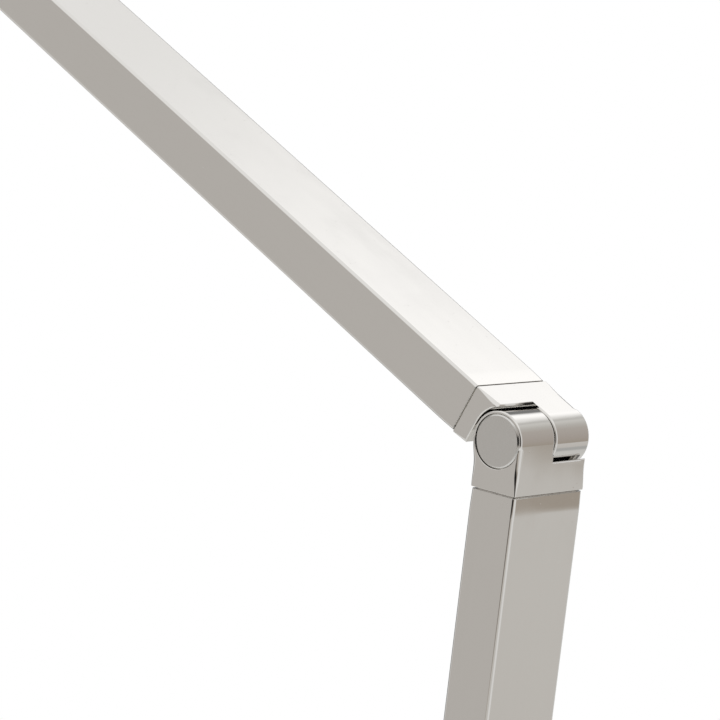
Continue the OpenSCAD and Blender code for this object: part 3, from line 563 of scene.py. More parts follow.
finished("rubber_pad", eased("base_pad", 0.4, least=60),
         grainy("moulded_rubber", (0.012, 0.012, 0.012), (0.035, 0.035, 0.034), 0.72, 1500, 1.1e-4),
         "base_pad")
AXIS = 0.001                          # a radius so small that a profile may start or end there


def turned(profile, closed=False, steps=96):
    """A solid of revolution about z from (radius, height) points; closed for a hollow one."""
    return through([[(r * cos(2 * pi * i / steps), r * sin(2 * pi * i / steps), z)
                     for i in range(steps)] for r, z in profile], closed)


def rod(r, start, end, steps=32):
    """A cylinder from one point to another."""
    start, end = Vector(start), Vector(end)
    turn = (end - start).to_track_quat("Z", "Y").to_matrix()
    circle = [turn @ Vector((r * cos(2 * pi * i / steps), r * sin(2 * pi * i / steps), 0))
              for i in range(steps)]
    return through([[p + start for p in circle], [p + end for p in circle]])


def hexagon(flats, low, high):
    """A six-sided cutter or body, by its width across the flats."""
    return turned([(flats / 2 / cos(pi / 6), z) for z in (low, high)], steps=6)


def countersunk(r, length):
    """A socket screw pointing up, its flat head at z = 0, with a point and shallow threads."""
    head = 2 * r
    profile = [(AXIS, 0), (head - 0.15, 0), (head, 0.12), (r, head - r)]
    pitch, z = 0.25 * r + 0.2, head - r + 0.4
    while z < length - 1.5 * pitch:
        profile += [(r, z), (r - 0.12 * r, z + 0.5 * pitch)]
        z += pitch
    profile += [(r, length - 0.6 * r), (0.6 * r, length), (AXIS, length)]
    return carved(turned(profile, steps=32), ("DIFFERENCE", hexagon(r * 0.87, -1, r / 2)))


def geometry_group(name, inputs):
    group = bpy.data.node_groups.new(name, "GeometryNodeTree")
    group.interface.new_socket("Geometry", in_out="OUTPUT", socket_type="NodeSocketGeometry")
    for socket, kind in inputs.items():
        group.interface.new_socket(socket, in_out="INPUT", socket_type="NodeSocket" + kind)
    return group, outputs(group.nodes.new("NodeGroupInput"))


def ends_with(solid, look):
    """Ends a geometry tree with a solid in one material."""
    solid = result(solid, "GeometryNodeSetMaterial", {"Geometry": solid, "Material": look})
    put(solid.tree, "NodeGroupOutput", {"Geometry": solid})


def grown(group, values):
    """A plain mesh from a geometry tree run with these input values."""
    piece = new_object(group.name, bpy.data.meshes.new(group.name))
    maker = piece.modifiers.new(group.name, "NODES")
    maker.node_group = group
    for item in group.interface.items_tree:
        if item.item_type == "SOCKET" and item.in_out == "INPUT":
            maker[item.identifier] = values[item.name]
    return evaluated(piece)


in_rows, given = geometry_group("in_rows", {
    "Piece": "Object", "Columns": "Int", "Rows": "Int", "Column pitch": "Float",
    "Row pitch": "Float", "Look": "Material"})
grid = result(in_rows, "GeometryNodeMeshGrid", {
    "Size X": (given["Columns"] - 1) * given["Column pitch"], "Vertices X": given["Columns"],
    "Size Y": (given["Rows"] - 1) * given["Row pitch"], "Vertices Y": given["Rows"]})
model = result(in_rows, "GeometryNodeObjectInfo", {"Object": given["Piece"]}, "Geometry")
copies = result(in_rows, "GeometryNodeInstanceOnPoints", {"Points": grid, "Instance": model})
ends_with(result(in_rows, "GeometryNodeRealizeInstances", {"Geometry": copies}), given["Look"])


def rows_of(mesh, look, columns, rows, column_pitch, row_pitch, centre=(0, 0, 0)):
    """Alike pieces in rows about a centre, in the XY plane."""
    model = new_object("model", mesh)
    mesh = grown(in_rows, {"Piece": model, "Columns": columns, "Rows": rows,
                           "Column pitch": column_pitch, "Row pitch": row_pitch, "Look": look})
    bpy.data.objects.remove(model)
    mesh.transform(Matrix.Translation(centre))
    return mesh


steel = grainy("bright_turned_steel", (0.46, 0.465, 0.475), (0.60, 0.605, 0.615), 0.26, 700, 2e-6,
               speckle=0.2, metallic=1.0)
black_steel = grainy("black_oxide_steel", (0.045, 0.046, 0.05), (0.09, 0.09, 0.095), 0.42, 800,
                     4e-6, metallic=1.0)
PLATE_LOW = 2.0                       # the plate's underside, above the pad
PLATE_HOLES_X, PLATE_HOLES_Y, TAB_HOLES_X = 192, 122, 104
finished("plate_screws",
         rows_of(countersunk(2.0, 14.0), black_steel, 2, 2, PLATE_HOLES_X, PLATE_HOLES_Y,
                 (0, 0, PLATE_LOW)),
         black_steel, "plate_screws")
DRIVER_X, DRIVER_Y = -10.0, 46.0
finished("driver_screws",
         rows_of(countersunk(1.5, 5.0), steel, 2, 1, TAB_HOLES_X, 0,
                 (DRIVER_X, DRIVER_Y, PLATE_LOW)),
         steel, "driver_screws")

# ---- Neck bolts ----------------------------------------------------------------------------
# Two socket-head bolts come up through the weight and the cover into the base block.


def thread(r, depth, start, step, count):
    """Profile of a thread: crests and roots in turn, from a start height."""
    return [(r - depth * (k % 2), start + step * k) for k in range(count)]


NECK_X, NECK_PITCH = 69.1, 25
bolt = turned([(AXIS, 5.1), (4.7, 5.1), (5.0, 5.4), (5.0, 9.9), (4.6, 10.3), (3.0, 10.3)] +
              thread(3.0, 0.25, 26, 0.4, 20) + [(3.0, 34.2), (2.4, 34.9), (AXIS, 34.9)], steps=48)
bolt = carved(bolt, ("DIFFERENCE", hexagon(5.19, 4.0, 7.5)))
finished("neck_bolts", rows_of(bolt, black_steel, 1, 2, 0, NECK_PITCH, (NECK_X, 0, 0)), black_steel,
         "neck_bolts")

# ---- Cord bush and terminal block ------------------------------------------------------------
# A moulded rubber bush lines the hole in the rear wall where the cord comes in (the cord itself
# isn't shown, so it is left out). Behind it sits a two-way terminal block of white polyamide.

CORD_HOLE = (110, DRIVER_Y, 14)
bush = turned([(3.9, 1.5), (3.6, 1.2), (3.6, -11), (5.0, -11), (5.2, -10.7), (5.2, 0), (6.8, 0),
               (6.8, 0.9), (6.63, 1.3), (6.2, 1.5)], closed=True)
finished("cord_bush", bush,
         grainy("bush_rubber", (0.014, 0.014, 0.014), (0.04, 0.04, 0.04), 0.6, 1300, 7e-5),
         "cord_bush",
         place=to_metres @ Matrix.Translation(CORD_HOLE) @ Matrix.Rotation(pi / 2, 4, "Y"))
white_plastic = grainy("white_polyamide", (0.70, 0.70, 0.68), (0.80, 0.80, 0.78), 0.42, 1100, 1e-5,
                       speckle=0.15)
finished("terminal_block", eased("terminal_block", 0.5, least=60), white_plastic,
         "terminal_block")

# ---- LED driver ------------------------------------------------------------------------------
# A sealed supply in a white polycarbonate case with a screwed tab at each end.

finished("led_driver", eased("led_driver", 0.8, least=60),
         grainy("white_polycarbonate", (0.66, 0.665, 0.66), (0.76, 0.765, 0.76), 0.36, 500, 1.2e-5,
                speckle=0.1), "led_driver")

# ---- Wiring in the base ----------------------------------------------------------------------
# Round PVC-sheathed leads lie in slots of the weight: driver to terminals, driver to switch, and
# driver to the knuckle. They bend with a small radius, which the slots leave room for.


def wire_along(curve, radius, sides):
    """A round solid along a curve, with flat ends."""
    ring = result(curve, "GeometryNodeCurvePrimitiveCircle", {"Resolution": sides, "Radius": radius})
    return result(curve, "GeometryNodeCurveToMesh",
                  {"Curve": curve, "Profile Curve": ring, "Fill Caps": True})


sheathed_lead, given = geometry_group("sheathed_lead", {
    "Route": "Object", "Radius": "Float", "Bend": "Float", "Look": "Material"})
route = result(sheathed_lead, "GeometryNodeObjectInfo", {"Object": given["Route"]}, "Geometry")
route = result(route, "GeometryNodeMeshToCurve", {"Mesh": route})
route = result(route, "GeometryNodeFilletCurve", {
    "Curve": route, "Count": 8, "Radius": given["Bend"], "Limit Radius": True}, mode="POLY")
ends_with(wire_along(route, given["Radius"], 24), given["Look"])
sheath_look = grainy("pvc_sheath", (0.02, 0.02, 0.021), (0.038, 0.038, 0.039), 0.45, 600, 8e-6)


def joined(*meshes):
    """One mesh from one or more, welded and smooth."""
    return new_mesh(bmesh_of(*meshes))


def leads(name, node, place, *routes):
    """Sheathed leads along routes of points, as one piece."""
    work = bmesh.new()
    for points in routes:
        verts = [work.verts.new(p) for p in points]
        for a, b in zip(verts, verts[1:]):
            work.edges.new((a, b))
    guide = new_object("routes", written(work))
    mesh = grown(sheathed_lead, {"Route": guide, "Radius": 1.8, "Bend": 4.0, "Look": sheath_look})
    bpy.data.objects.remove(guide)
    finished(name, joined(mesh), sheath_look, node, place=place)


SWITCH_X = -82.0
wire_z, lead_y, wire_turn_x, driver_end = 6.9, 30.8, 58.5, 39.9
leads("base_wiring", "base_wiring", to_metres,
      [(driver_end, DRIVER_Y, 8.9), (49.7, DRIVER_Y, 8.9), (78.9, DRIVER_Y, wire_z)],
      [(-59.9, lead_y, wire_z), (SWITCH_X, lead_y, wire_z), (SWITCH_X, 0, 8.1)],
      [(driver_end, lead_y, wire_z), (wire_turn_x, lead_y, wire_z), (wire_turn_x, 5, wire_z),
       (70, 5, wire_z), (70, 5, 51.1)])

# ---- Push switch -----------------------------------------------------------------------------
# A latching push switch stands in the slab: a threaded brass body with a bezel on top, held from
# below by a ring nut, and a turned button on a return spring. Body and button are plated.

at_switch = to_metres @ Matrix.Translation((SWITCH_X, 0, 0))
switch_axis = at_switch.to_translation()


def spun(name, centre, axes=(0, 1), roughness=0.12):
    """Polished metal faced on a lathe: its lines run round a centre, in the plane of two axes."""
    material, metal, point = new_look(name)
    local = result(point, "ShaderNodeVectorMath", {0: point, 1: centre}, operation="SUBTRACT")
    parts = split(local)
    away = calc("SQRT", parts[axes[0]] ** 2.0 + parts[axes[1]] ** 2.0)
    rings = noise(result(away, "ShaderNodeCombineXYZ", {0: away}), 2600.0, 2.0)
    mottle = noise(local, 520.0, 4.0, 0.65)
    rim = 0.10 + smooth_step(away, 0.0070, 0.0094) * 0.3
    shade = 0.5 + swing(mottle, 1.0) * rim + swing(rings, 0.12)
    colour = tinted(shade, (0.56, 0.55, 0.53), (0.73, 0.72, 0.695))
    finish(metal, colour, roughness + rings * 0.08, swing(rings, 5e-7), 1.0)
    return material


body = [(6.2, 26.2), (6.2, 23.0), (7.0, 23.0), (7.0, 19.3), (3.9, 19.3), (3.9, 12.0), (AXIS, 12.0),
        (AXIS, 10.0), (8.1, 10.0), (8.5, 10.4)]
body += thread(8.5, 0.45, 11.0, 0.4, 28)
body += [(8.5, 22.3), (8.5, 25.0), (10.5, 25.0), (10.5, 25.8), (10.38, 26.08), (10.1, 26.2),
         (6.35, 26.2)]
finished("switch_body", flat_shaded(turned(body, closed=True)),
         spun("switch_body_nickel", switch_axis, roughness=0.08), "switch_body",
         place=at_switch)


def nut(flats, face_r, rim_r, bore_r, low, high):
    """A hexagon whose two faces are chamfered from one radius out to another, bored along z."""
    dome = turned([(AXIS, low), (face_r, low), (rim_r, low + 0.7), (rim_r, high - 0.7),
                   (face_r, high), (AXIS, high)])
    return carved(hexagon(flats, low, high), ("INTERSECT", dome),
                  ("DIFFERENCE", rod(bore_r, (0, 0, low - 1), (0, 0, high + 1), 64)))


finished("ring_nut", flat_shaded(nut(18.18, 9.3, 10.6, 8.55, 19.9, 22.4)), steel,
         "switch_ring_nut", place=at_switch)
coil, given = geometry_group("coil_spring", {
    "Radius": "Float", "Wire radius": "Float", "Turns": "Float", "Low": "Float", "High": "Float",
    "Look": "Material"})
helix = result(coil, "GeometryNodeCurveSpiral", {
    "Resolution": 40, "Rotations": given["Turns"], "Start Radius": given["Radius"],
    "End Radius": given["Radius"], "Height": given["High"] - given["Low"]})
lift = result(coil, "ShaderNodeCombineXYZ", {2: given["Low"]})
helix = result(coil, "GeometryNodeSetPosition", {"Geometry": helix, "Offset": lift})
ends_with(wire_along(helix, given["Wire radius"], 12), given["Look"])
spring = joined(grown(coil, {"Radius": 3.0, "Wire radius": 0.34, "Turns": 4.0, "Low": 12.36,
                             "High": 21.04, "Look": steel}))
spring = finished("return_spring", spring, steel, "switch_spring", place=at_switch)
spring_low, spring_high = (corner.z for corner in map(Vector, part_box("switch_spring")))
press = next(j for j in frame["record"]["behaviour"]["joints"] if j["name"] == "switch_press")
1 - press["range_m"][1] / (spring_high - spring_low)
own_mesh(spring)
BUTTON_R, BUTTON_TOP, BUTTON_EASE = 6.0, 29.0, 0.65
button = [(AXIS, 21.4), (6.7, 21.4), (6.8, 21.5), (6.8, 22.8), (6.7, 22.9), (BUTTON_R, 22.9)]
button += [(BUTTON_R - BUTTON_EASE * (1 - cos(radians(a))),
            BUTTON_TOP - BUTTON_EASE * (1 - sin(radians(a)))) for a in range(0, 91, 15)]
finished("push_button", flat_shaded(turned(button + [(AXIS, BUTTON_TOP)])),
         spun("button_nickel", switch_axis), "switch_button", place=at_switch)

# ---- Knuckle blocks ------------------------------------------------------------------------
# Six machined brass blocks, two to a knuckle, half-lapped so that each has an ear on one half
# of its width and a notch for the other's ear. All but the base's have a spigot in their tube.
# Their edges are eased by hand, and they are ground flush with the bar, polished and plated.

BAR_W, BAR_T, CORNER = 40.0, 20.0, 1.9
HALF_W = BAR_W / 2
PIVOT_OFF = 0.9                       # from the bar's middle, towards the fold
OUTER, INNER = BAR_T / 2 + PIVOT_OFF, PIVOT_OFF - BAR_T / 2
EAR_R = OUTER
EAR_LOW = 0.4                         # an ear's flat face, from the middle of the width
SEAM = 18.2
NOTCH_X, NOTCH_R = EAR_R + 0.4, 13.0
SEAT_R, SEAT_FLOOR = 9.9, HALF_W - 2.5
NUT_POCKET_R, NUT_FLOOR = 8.2, 9.5
EAR_EASE, LAP_EASE, SEAM_EASE, SEAT_EASE, LIP_EASE = 0.75, 0.8, 0.2, 0.22, 0.6
SEAM_GAP, END_CORNER = 0.56, 0.5
TRIM = 7.0                            # degrees by which a rounding stops short of its tangent
BORE_R, LEAD_AT = 2.1, 5.0            # the leads' bore and its distance from the pivot's plane
PIN_AT, GRUB_AT, GRUB_PITCH = 8.9, SEAM + 12, 22
SPIGOT_L, SLIDE = 25, 1.6


def between(x, low, high, start, end):
    """Smooth passage from one value to another."""
    t = min(max((x - low) / (high - low), 0), 1)
    return start + (end - start) * t * t * (3 - 2 * t)


def bends(ease, first=0.0):
    """How far a rounded edge lies in from each of its two faces, step by step."""
    steps = 5
    for k in range(steps + 1):
        a = radians(first + (90 - first) * k / steps)
        yield ease * (1 - sin(a)), ease * (1 - cos(a))


def bar_section(x, inset=0.0, corner=CORNER):
    """Ring of a bar's rounded section, drawn in by an inset."""
    r = corner - min(inset, corner - 0.3)
    return [(x, PIVOT_OFF + y, z)
            for y, z in rounded(BAR_T / 2 - inset - r, HALF_W - inset - r, r, 6)]


def ease_along(x):
    """The long edges' easing fades towards the seam."""
    return between(x, 9.0, 18.5, CORNER, END_CORNER)


def ear_half(past):
    """The half with the ear: its outline, stacked with rounded rims."""
    touch = atan2(INNER, SEAM) - acos(EAR_R / hypot(SEAM, INNER))
    rim = [((past, OUTER), (0, 1), END_CORNER, 0)]      # point, normal, outer and lap ease
    for x in (19, 18, 17, 16, 15, 14, 12, 10, 8, 5.2, 4.9, 4.6, 4.3, 4, 3, 2, 1.5, 1.2, 0.9,
              0.6, 0.3):
        rim.append(((x, OUTER), (0, 1), between(x, 0, 1.5, EAR_EASE, ease_along(x)),
                    between(x, 4, 5.2, LAP_EASE, 0)))
    arc_steps = 92
    for i in range(arc_steps + 1):
        a = pi / 2 + (touch + 2 * pi - pi / 2) * i / arc_steps
        rim.append(((EAR_R * cos(a), EAR_R * sin(a)), (cos(a), sin(a)), EAR_EASE, LAP_EASE))
    flare_steps = 16
    for i in range(1, flare_steps):
        t = i / flare_steps
        x, y = (EAR_R * cos(touch) * (1 - t) + SEAM * t, EAR_R * sin(touch) * (1 - t) + INNER * t)
        rim.append(((x, y), (cos(touch), sin(touch)), between(x, 2, 9, EAR_EASE, ease_along(x)),
                    between(x, NOTCH_X - 2, NOTCH_X, LAP_EASE, 0)))
    rim += [((x, INNER), (0, -1), END_CORNER, 0) for x in (SEAM, past)]
    rings = []
    for aside, down in bends(1):
        rings.append([(x - nx * e * aside, y - ny * e * aside, EAR_LOW + e * down)
                      for (x, y), (nx, ny), _, e in rim])
    for down, aside in bends(1):
        rings.append([(x - nx * e * aside, y - ny * e * aside, HALF_W - e * down)
                      for (x, y), (nx, ny), e, _ in rim])
    return through(rings)


def plain_half(past):
    """The other half before it is notched: a slice of the rounded bar. Above the ear's flat
    face it lies just inside the ear, so that their skins don't coincide."""
    rings = []
    for x in (3.8, 7, 9, 11, 13, 15, 17, 18.5, past):
        low = [(px, y, z) for px, y, z in bar_section(x, corner=ease_along(x)) if z < 0]
        rings.append([(x, OUTER - 1, 5), (x, INNER + 1, 5), (x, INNER + 1, EAR_LOW + 0.05),
                      (x, INNER, EAR_LOW)] + low +
                     [(x, OUTER, EAR_LOW), (x, OUTER - 1, EAR_LOW + 0.05)])
    return through(rings)


def notch_cutter():
    """Room for the other block's ear: a straight wall, then an arc up to a rounded lip."""
    middle = NOTCH_X - NOTCH_R
    wall = []                                            # point, direction into the block
    tip = (NOTCH_X + LIP_EASE, INNER + LIP_EASE)
    for k in range(7):
        a = radians(270 - TRIM - (90 - TRIM) * k / 6)
        wall.append(((tip[0] + LIP_EASE * cos(a), tip[1] + LIP_EASE * sin(a)), (-cos(a), -sin(a))))
    wall.insert(0, ((wall[0][0][0], -14), wall[0][1]))
    wall += [((NOTCH_X, y), (1, 0)) for y in (-7, -5, -2.5)]
    lip_y = OUTER - LIP_EASE
    lip_x = middle + ((NOTCH_R + LIP_EASE) ** 2 - lip_y ** 2) ** 0.5
    touch = atan2(lip_y, lip_x - middle)
    for k in range(13):
        a = touch * k / 12
        wall.append(((middle + NOTCH_R * cos(a), NOTCH_R * sin(a)), (cos(a), sin(a))))
    start, end = touch + pi, pi / 2 + radians(TRIM)
    for k in range(1, 9):
        a = start + (end - start) * k / 8
        wall.append(((lip_x + LIP_EASE * cos(a), lip_y + LIP_EASE * sin(a)), (-cos(a), -sin(a))))
    wall.append(((wall[-1][0][0], OUTER + 4), wall[-1][1]))
    wall += [((-16, OUTER + 4), (0, 0)), ((-16, -14), (0, 0))]
    flare = list(bends(LAP_EASE, first=TRIM))
    levels = [(flare[0][0], -HALF_W - 2)] + [(out, -HALF_W + z) for out, z in flare]
    levels.append((0, EAR_LOW))
    return through([[(x + nx * out, y + ny * out, z) for (x, y), (nx, ny) in wall]
                    for out, z in levels])


def end_trim(length):
    """Everything before the end of the block, whose edge is eased."""
    def wide(x):
        return [(x, PIVOT_OFF + (y - PIVOT_OFF) * 2, z * 2) for _, y, z in bar_section(x)]
    rings = [wide(-16), wide(length - 0.6), bar_section(length - 0.26, -0.05, END_CORNER)]
    rings += [bar_section(length - down, aside, END_CORNER)
              for down, aside in bends(SEAM_EASE, first=20)]
    return through(rings)


def spigot():
    return through([bar_section(SEAM + x, SLIDE + inset)
                    for x, inset in ((-2, 0), (SPIGOT_L - 0.5, 0), (SPIGOT_L, 0.5))])


def seat(holds_nut):
    """Cutter for an ear: bolt hole, the nut's pocket if it has one, and the disc's seat."""
    bolt_hole = 4.05
    profile = [(bolt_hole, EAR_LOW - 1)]
    if holds_nut:
        profile += [(bolt_hole, NUT_FLOOR), (NUT_POCKET_R, NUT_FLOOR), (NUT_POCKET_R, SEAT_FLOOR)]
    else:
        profile += [(bolt_hole, SEAT_FLOOR)]
    profile.append((SEAT_R, SEAT_FLOOR))
    flare = list(bends(SEAT_EASE, first=TRIM * 2))[::-1]
    profile += [(SEAT_R + out, HALF_W - down) for out, down in flare]
    profile.append((SEAT_R + flare[-1][0], HALF_W + 2))
    return turned(profile)


def arc_slot(at, half, start, turn, low, high):
    """A round-ended slot about the pivot, between two levels."""
    edge = []
    steps = 24
    for reach, order in ((at + half, range(steps + 1)), (at - half, range(steps, -1, -1))):
        for k in order:
            a = radians(start + turn * k / steps)
            edge.append((reach * cos(a), reach * sin(a)))
        a = radians(start + (turn if reach > at else 0))
        for k in range(1, 8):
            b = a + pi * k / 8 + (0 if reach > at else pi)
            edge.append((at * cos(a) + half * cos(b), at * sin(a) + half * sin(b)))
    return through([[(x, y, z) for x, y in edge] for z in (low, high)])


def grub_holes(at_x):
    return [rod(2.05, (at_x, INNER - 1, z), (at_x, INNER + 5, z))
            for z in (-GRUB_PITCH / 2, GRUB_PITCH / 2)]


def milled_and_shaded_faces(mesh):
    """Marks the cut walls of the notch and the flat face between the ears for a darker nickel that
    paints their shade, and the spigot for a near black that paints the seam gap's shade.
    """
    for face in mesh.polygons:
        x, y, z = face.center
        nx, ny, nz = face.normal
        wall = (abs(nz) < 0.1 and z < EAR_LOW - 0.1 and nx < -0.2 and x < 14.5 and
                INNER + 0.7 < y < OUTER - 0.8 and z > -HALF_W + LAP_EASE)
        if wall or (nz < -0.99 and abs(z - EAR_LOW) < 0.1):
            face.material_index = 1
        if x > SEAM - 0.1 and abs(z) < HALF_W - 1.2 and INNER + 1.2 < y < OUTER - 1.2:
            face.material_index = 2


def knuckle_block(holds_nut=False, groove=96, length=SEAM, in_tube=True):
    """A block about its own pivot, in millimetres."""
    past = length + 3
    lead_end = length + 1 + (SPIGOT_L if in_tube else 0)
    steps = [("UNION", carved(plain_half(past), ("DIFFERENCE", notch_cutter()))),
             ("INTERSECT", end_trim(length - (SEAM_GAP / 2 if in_tube else 0)))]
    if in_tube:
        steps.append(("UNION", spigot()))
        steps += [("DIFFERENCE", hole) for hole in grub_holes(GRUB_AT)]
    steps.append(("DIFFERENCE", seat(holds_nut)))
    steps.append(("DIFFERENCE", rod(BORE_R, (0, 0, LEAD_AT), (lead_end, 0, LEAD_AT))))
    steps.append(("DIFFERENCE", arc_slot(PIN_AT, 1.1, 90, groove, EAR_LOW - 1, EAR_LOW + 1.8)
                  if holds_nut else rod(0.95, (0, PIN_AT, EAR_LOW - 1), (0, PIN_AT, EAR_LOW + 5.5))))
    return carved(ear_half(past), *steps)


def at_pivot(pivot, angle, ear_side):
    """Matrix from a block's millimetres to the lamp: the bar's angle, and the ear's side of Y."""
    return (Matrix.Translation(pivot) @ Matrix.Rotation(-radians(angle), 4, "Y")
            @ Matrix.Rotation(-pi / 2 * ear_side, 4, "X") @ to_metres)


def run_angle(start, end):
    return degrees(atan2(end.z - start.z, end.x - start.x))


RUN = 380.0
lower_angle = run_angle(base, elbow) - degrees(atan2(2 * PIVOT_OFF, RUN))
upper_angle = run_angle(elbow, wrist)
base_block, lower_foot = at_pivot(base, 270, 1), at_pivot(base, lower_angle, -1)
lower_top, upper_foot = at_pivot(elbow, lower_angle + 180, -1), at_pivot(elbow, upper_angle, 1)
upper_top, head_foot = at_pivot(wrist, upper_angle + 180, -1), at_pivot(wrist, 180, 1)
# the notch's cut walls and the hidden face between the ears: a rougher machined nickel whose darker
# colour is painted shade of the recess
milled_and_shaded = grainy("milled_nickel", (0.36, 0.335, 0.31), (0.42, 0.395, 0.37), 0.24, 500, 4e-7,
                speckle=0.0, metallic=1.0)
# near black on the spigot and block ends inside the seam gap: painted shade of the gap, partly real
# polishing residue
seam_residue_and_shade = grainy("dull_brass", (0.020, 0.018, 0.015), (0.045, 0.040, 0.034), 0.55, 900, 2e-6)
looks = {angle: polished(f"block_nickel_{name}", angle, Haze=0.03, Least_roughness=0.045)
         for name, angle in (("neck", 90), ("lower", lower_angle), ("upper", upper_angle),
                             ("head", 0))}
for node, place, angle, shape in (
        ("base_knuckle", base_block, 90, {"length": 32.0, "in_tube": False}),
        ("lower_foot_knuckle", lower_foot, lower_angle, {"holds_nut": True, "groove": 90}),
        ("lower_elbow_knuckle", lower_top, lower_angle, {}),
        ("upper_elbow_knuckle", upper_foot, upper_angle, {"holds_nut": True}),
        ("upper_wrist_knuckle", upper_top, upper_angle, {}),
        ("head_knuckle", head_foot, 0, {"holds_nut": True})):
    mesh = knuckle_block(**shape)
    if node == "base_knuckle":
        for y in (-NECK_PITCH / 2, NECK_PITCH / 2):
            mesh = carved(mesh, ("DIFFERENCE", rod(3.05, (33, 0.9, y), (22, 0.9, y))))
    milled_and_shaded_faces(mesh)
    mesh = flat_shaded(mesh)
    mesh.materials.clear()
    for look in (looks[angle], milled_and_shaded, seam_residue_and_shade):
        mesh.materials.append(look)
    finished(node + "_block", mesh, None, node, place=place)

# ---- Pivots --------------------------------------------------------------------------------
# Each pivot is a hollow bolt whose flush head is a turned disc. A fibre washer keeps the ears
# apart, a conical spring washer and a nut give the drag, a dowel in a groove ends the travel,
# and a press-in cap like the head closes the nut's pocket on the other side.


def disc_profile():
    """Face and rim of a flush disc, from its middle outwards and down to its floor."""
    r, chamfer, deep = 9.7, 0.62, 0.42
    return [(r - chamfer - 0.12, HALF_W), (r - chamfer, HALF_W - 0.03), (r - 0.04, HALF_W - deep),
            (r, HALF_W - deep - 0.08), (r, SEAT_FLOOR)]


def pivot_bolt(travel):
    """Disc and shank: the lead goes in by a round window and leaves by a long one."""
    end = -17.3
    bolt = turned([(AXIS, HALF_W)] + disc_profile() + [(4.0, SEAT_FLOOR)] +
                  thread(4.0, 0.3, -10.8, -0.35, 18) +
                  [(3.7, end), (BORE_R, end), (BORE_R, LEAD_AT + BORE_R), (AXIS, LEAD_AT + BORE_R)])
    window = arc_slot(3.3, BORE_R, 145, travel + 70, -LEAD_AT - BORE_R, -LEAD_AT + BORE_R)
    return carved(bolt, ("DIFFERENCE", rod(BORE_R, (0, 0, LEAD_AT), (6, 0, LEAD_AT))),
                  ("DIFFERENCE", window))


fibre = grainy("vulcanised_fibre", (0.52, 0.44, 0.33), (0.66, 0.59, 0.47), 0.7, 900, 3e-5,
               streak=(1, 4, 1))
spring_steel = grainy("blued_spring_steel", (0.16, 0.17, 0.20), (0.26, 0.26, 0.28), 0.30, 900,
                      3e-6, metallic=1.0)
for joint, pivot, place, cap_place, travel in (
        ("base", base, base_block, lower_foot, 90), ("elbow", elbow, lower_top, upper_foot, 96),
        ("wrist", wrist, upper_top, head_foot, 96)):
    face = spun(joint + "_disc_face", pivot, (0, 2))
    finished(joint + "_bolt", flat_shaded(pivot_bolt(travel)), face,
             joint + "_pivot_bolt", place=place)
    cap = turned([(AXIS, HALF_W)] + disc_profile() + [(AXIS, SEAT_FLOOR)])
    finished(joint + "_cap", flat_shaded(cap), face, joint + "_pivot_cap",
             place=cap_place)
    washer = turned([(4.2, -0.2), (4.25, -0.25), (7.35, -0.25), (7.4, -0.2), (7.4, 0.2),
                     (7.35, 0.25), (4.25, 0.25), (4.2, 0.2)], closed=True)
    finished(joint + "_washer", flat_shaded(washer), fibre,
             joint + "_friction_washer", place=place)
    cone = turned([(4.2, -10.0), (7.9, -9.6), (7.9, -10.4), (4.2, -10.8)], closed=True)
    finished(joint + "_cone", flat_shaded(cone), spring_steel,
             joint + "_cone_washer", place=place)
    finished(joint + "_nut", flat_shaded(nut(13, 6.6, 7.7, 4.05, -17.4, -10.9)), steel,
             joint + "_pivot_nut", place=place)
    pin = turned([(AXIS, -2.0), (0.7, -2.0), (0.9, -1.8), (0.9, 5.6), (0.7, 5.8), (AXIS, 5.8)],
                 steps=32)
    pin.transform(Matrix.Translation((0, PIN_AT, 0)))
    finished(joint + "_pin", pin, steel, joint + "_stop_pin", place=place)

# ---- Bars ----------------------------------------------------------------------------------
# Drawn brass tube, cut square, slid over the spigots and held by two grub screws at each end,
# then polished and plated. The wheel rounds the tube off a little towards each cut end.

TUBE_CORNER, TUBE_WALL = 1.35, 1.5
drawn_tube, given = geometry_group("drawn_tube", {
    "From": "Float", "To": "Float", "Width": "Float", "Thickness": "Float", "Corner": "Float",
    "Wall": "Float", "Roll-off": "Float", "Roll-off length": "Float", "Cuts": "Object"})


def tube_skin(beyond, inset, corner):
    """One skin of the tube, swept along x; its rings crowd towards both ends."""
    start, end, rings = given["From"] - beyond, given["To"] + beyond, 96
    line = result(drawn_tube, "GeometryNodeCurvePrimitiveLine", {"End": (1, 0, 0)})
    line = result(line, "GeometryNodeResampleCurve", {"Curve": line, "Count": rings})
    step = result(drawn_tube, "GeometryNodeInputIndex") / (rings - 1)
    crowd = 0.5 - calc("COSINE", step * pi) * 0.5
    place = result(drawn_tube, "ShaderNodeCombineXYZ", {0: start + (end - start) * crowd})
    line = result(line, "GeometryNodeSetPosition", {"Geometry": line, "Position": place})
    width, thickness = (given[key] - inset * 2 for key in ("Width", "Thickness"))
    section = result(drawn_tube, "GeometryNodeCurvePrimitiveQuadrilateral",
                     {"Width": thickness, "Height": width})
    section = result(section, "GeometryNodeFilletCurve",
                     {"Curve": section, "Count": 6, "Radius": corner}, mode="POLY")
    return result(line, "GeometryNodeCurveToMesh",
                  {"Curve": line, "Profile Curve": section, "Fill Caps": True})


outside = tube_skin(0.0, 0.0, given["Corner"])
place_x, place_y, place_z = split(result(drawn_tube, "GeometryNodeInputPosition"))
from_end = calc("MINIMUM", place_x - given["From"], given["To"] - place_x)
bow = (place_z / (given["Width"] * 0.5)) ** 2.0
reach = given["Roll-off length"] * calc("MULTIPLY_ADD", bow, 0.22, 0.78)
roll = calc("MAXIMUM", 1.0 - from_end / reach, 0.0) ** 1.4 * given["Roll-off"]


def drawn_in(place, full):
    """A coordinate moved towards the tube's middle by the roll-off."""
    return place * (1.0 - roll / (full * 0.5))


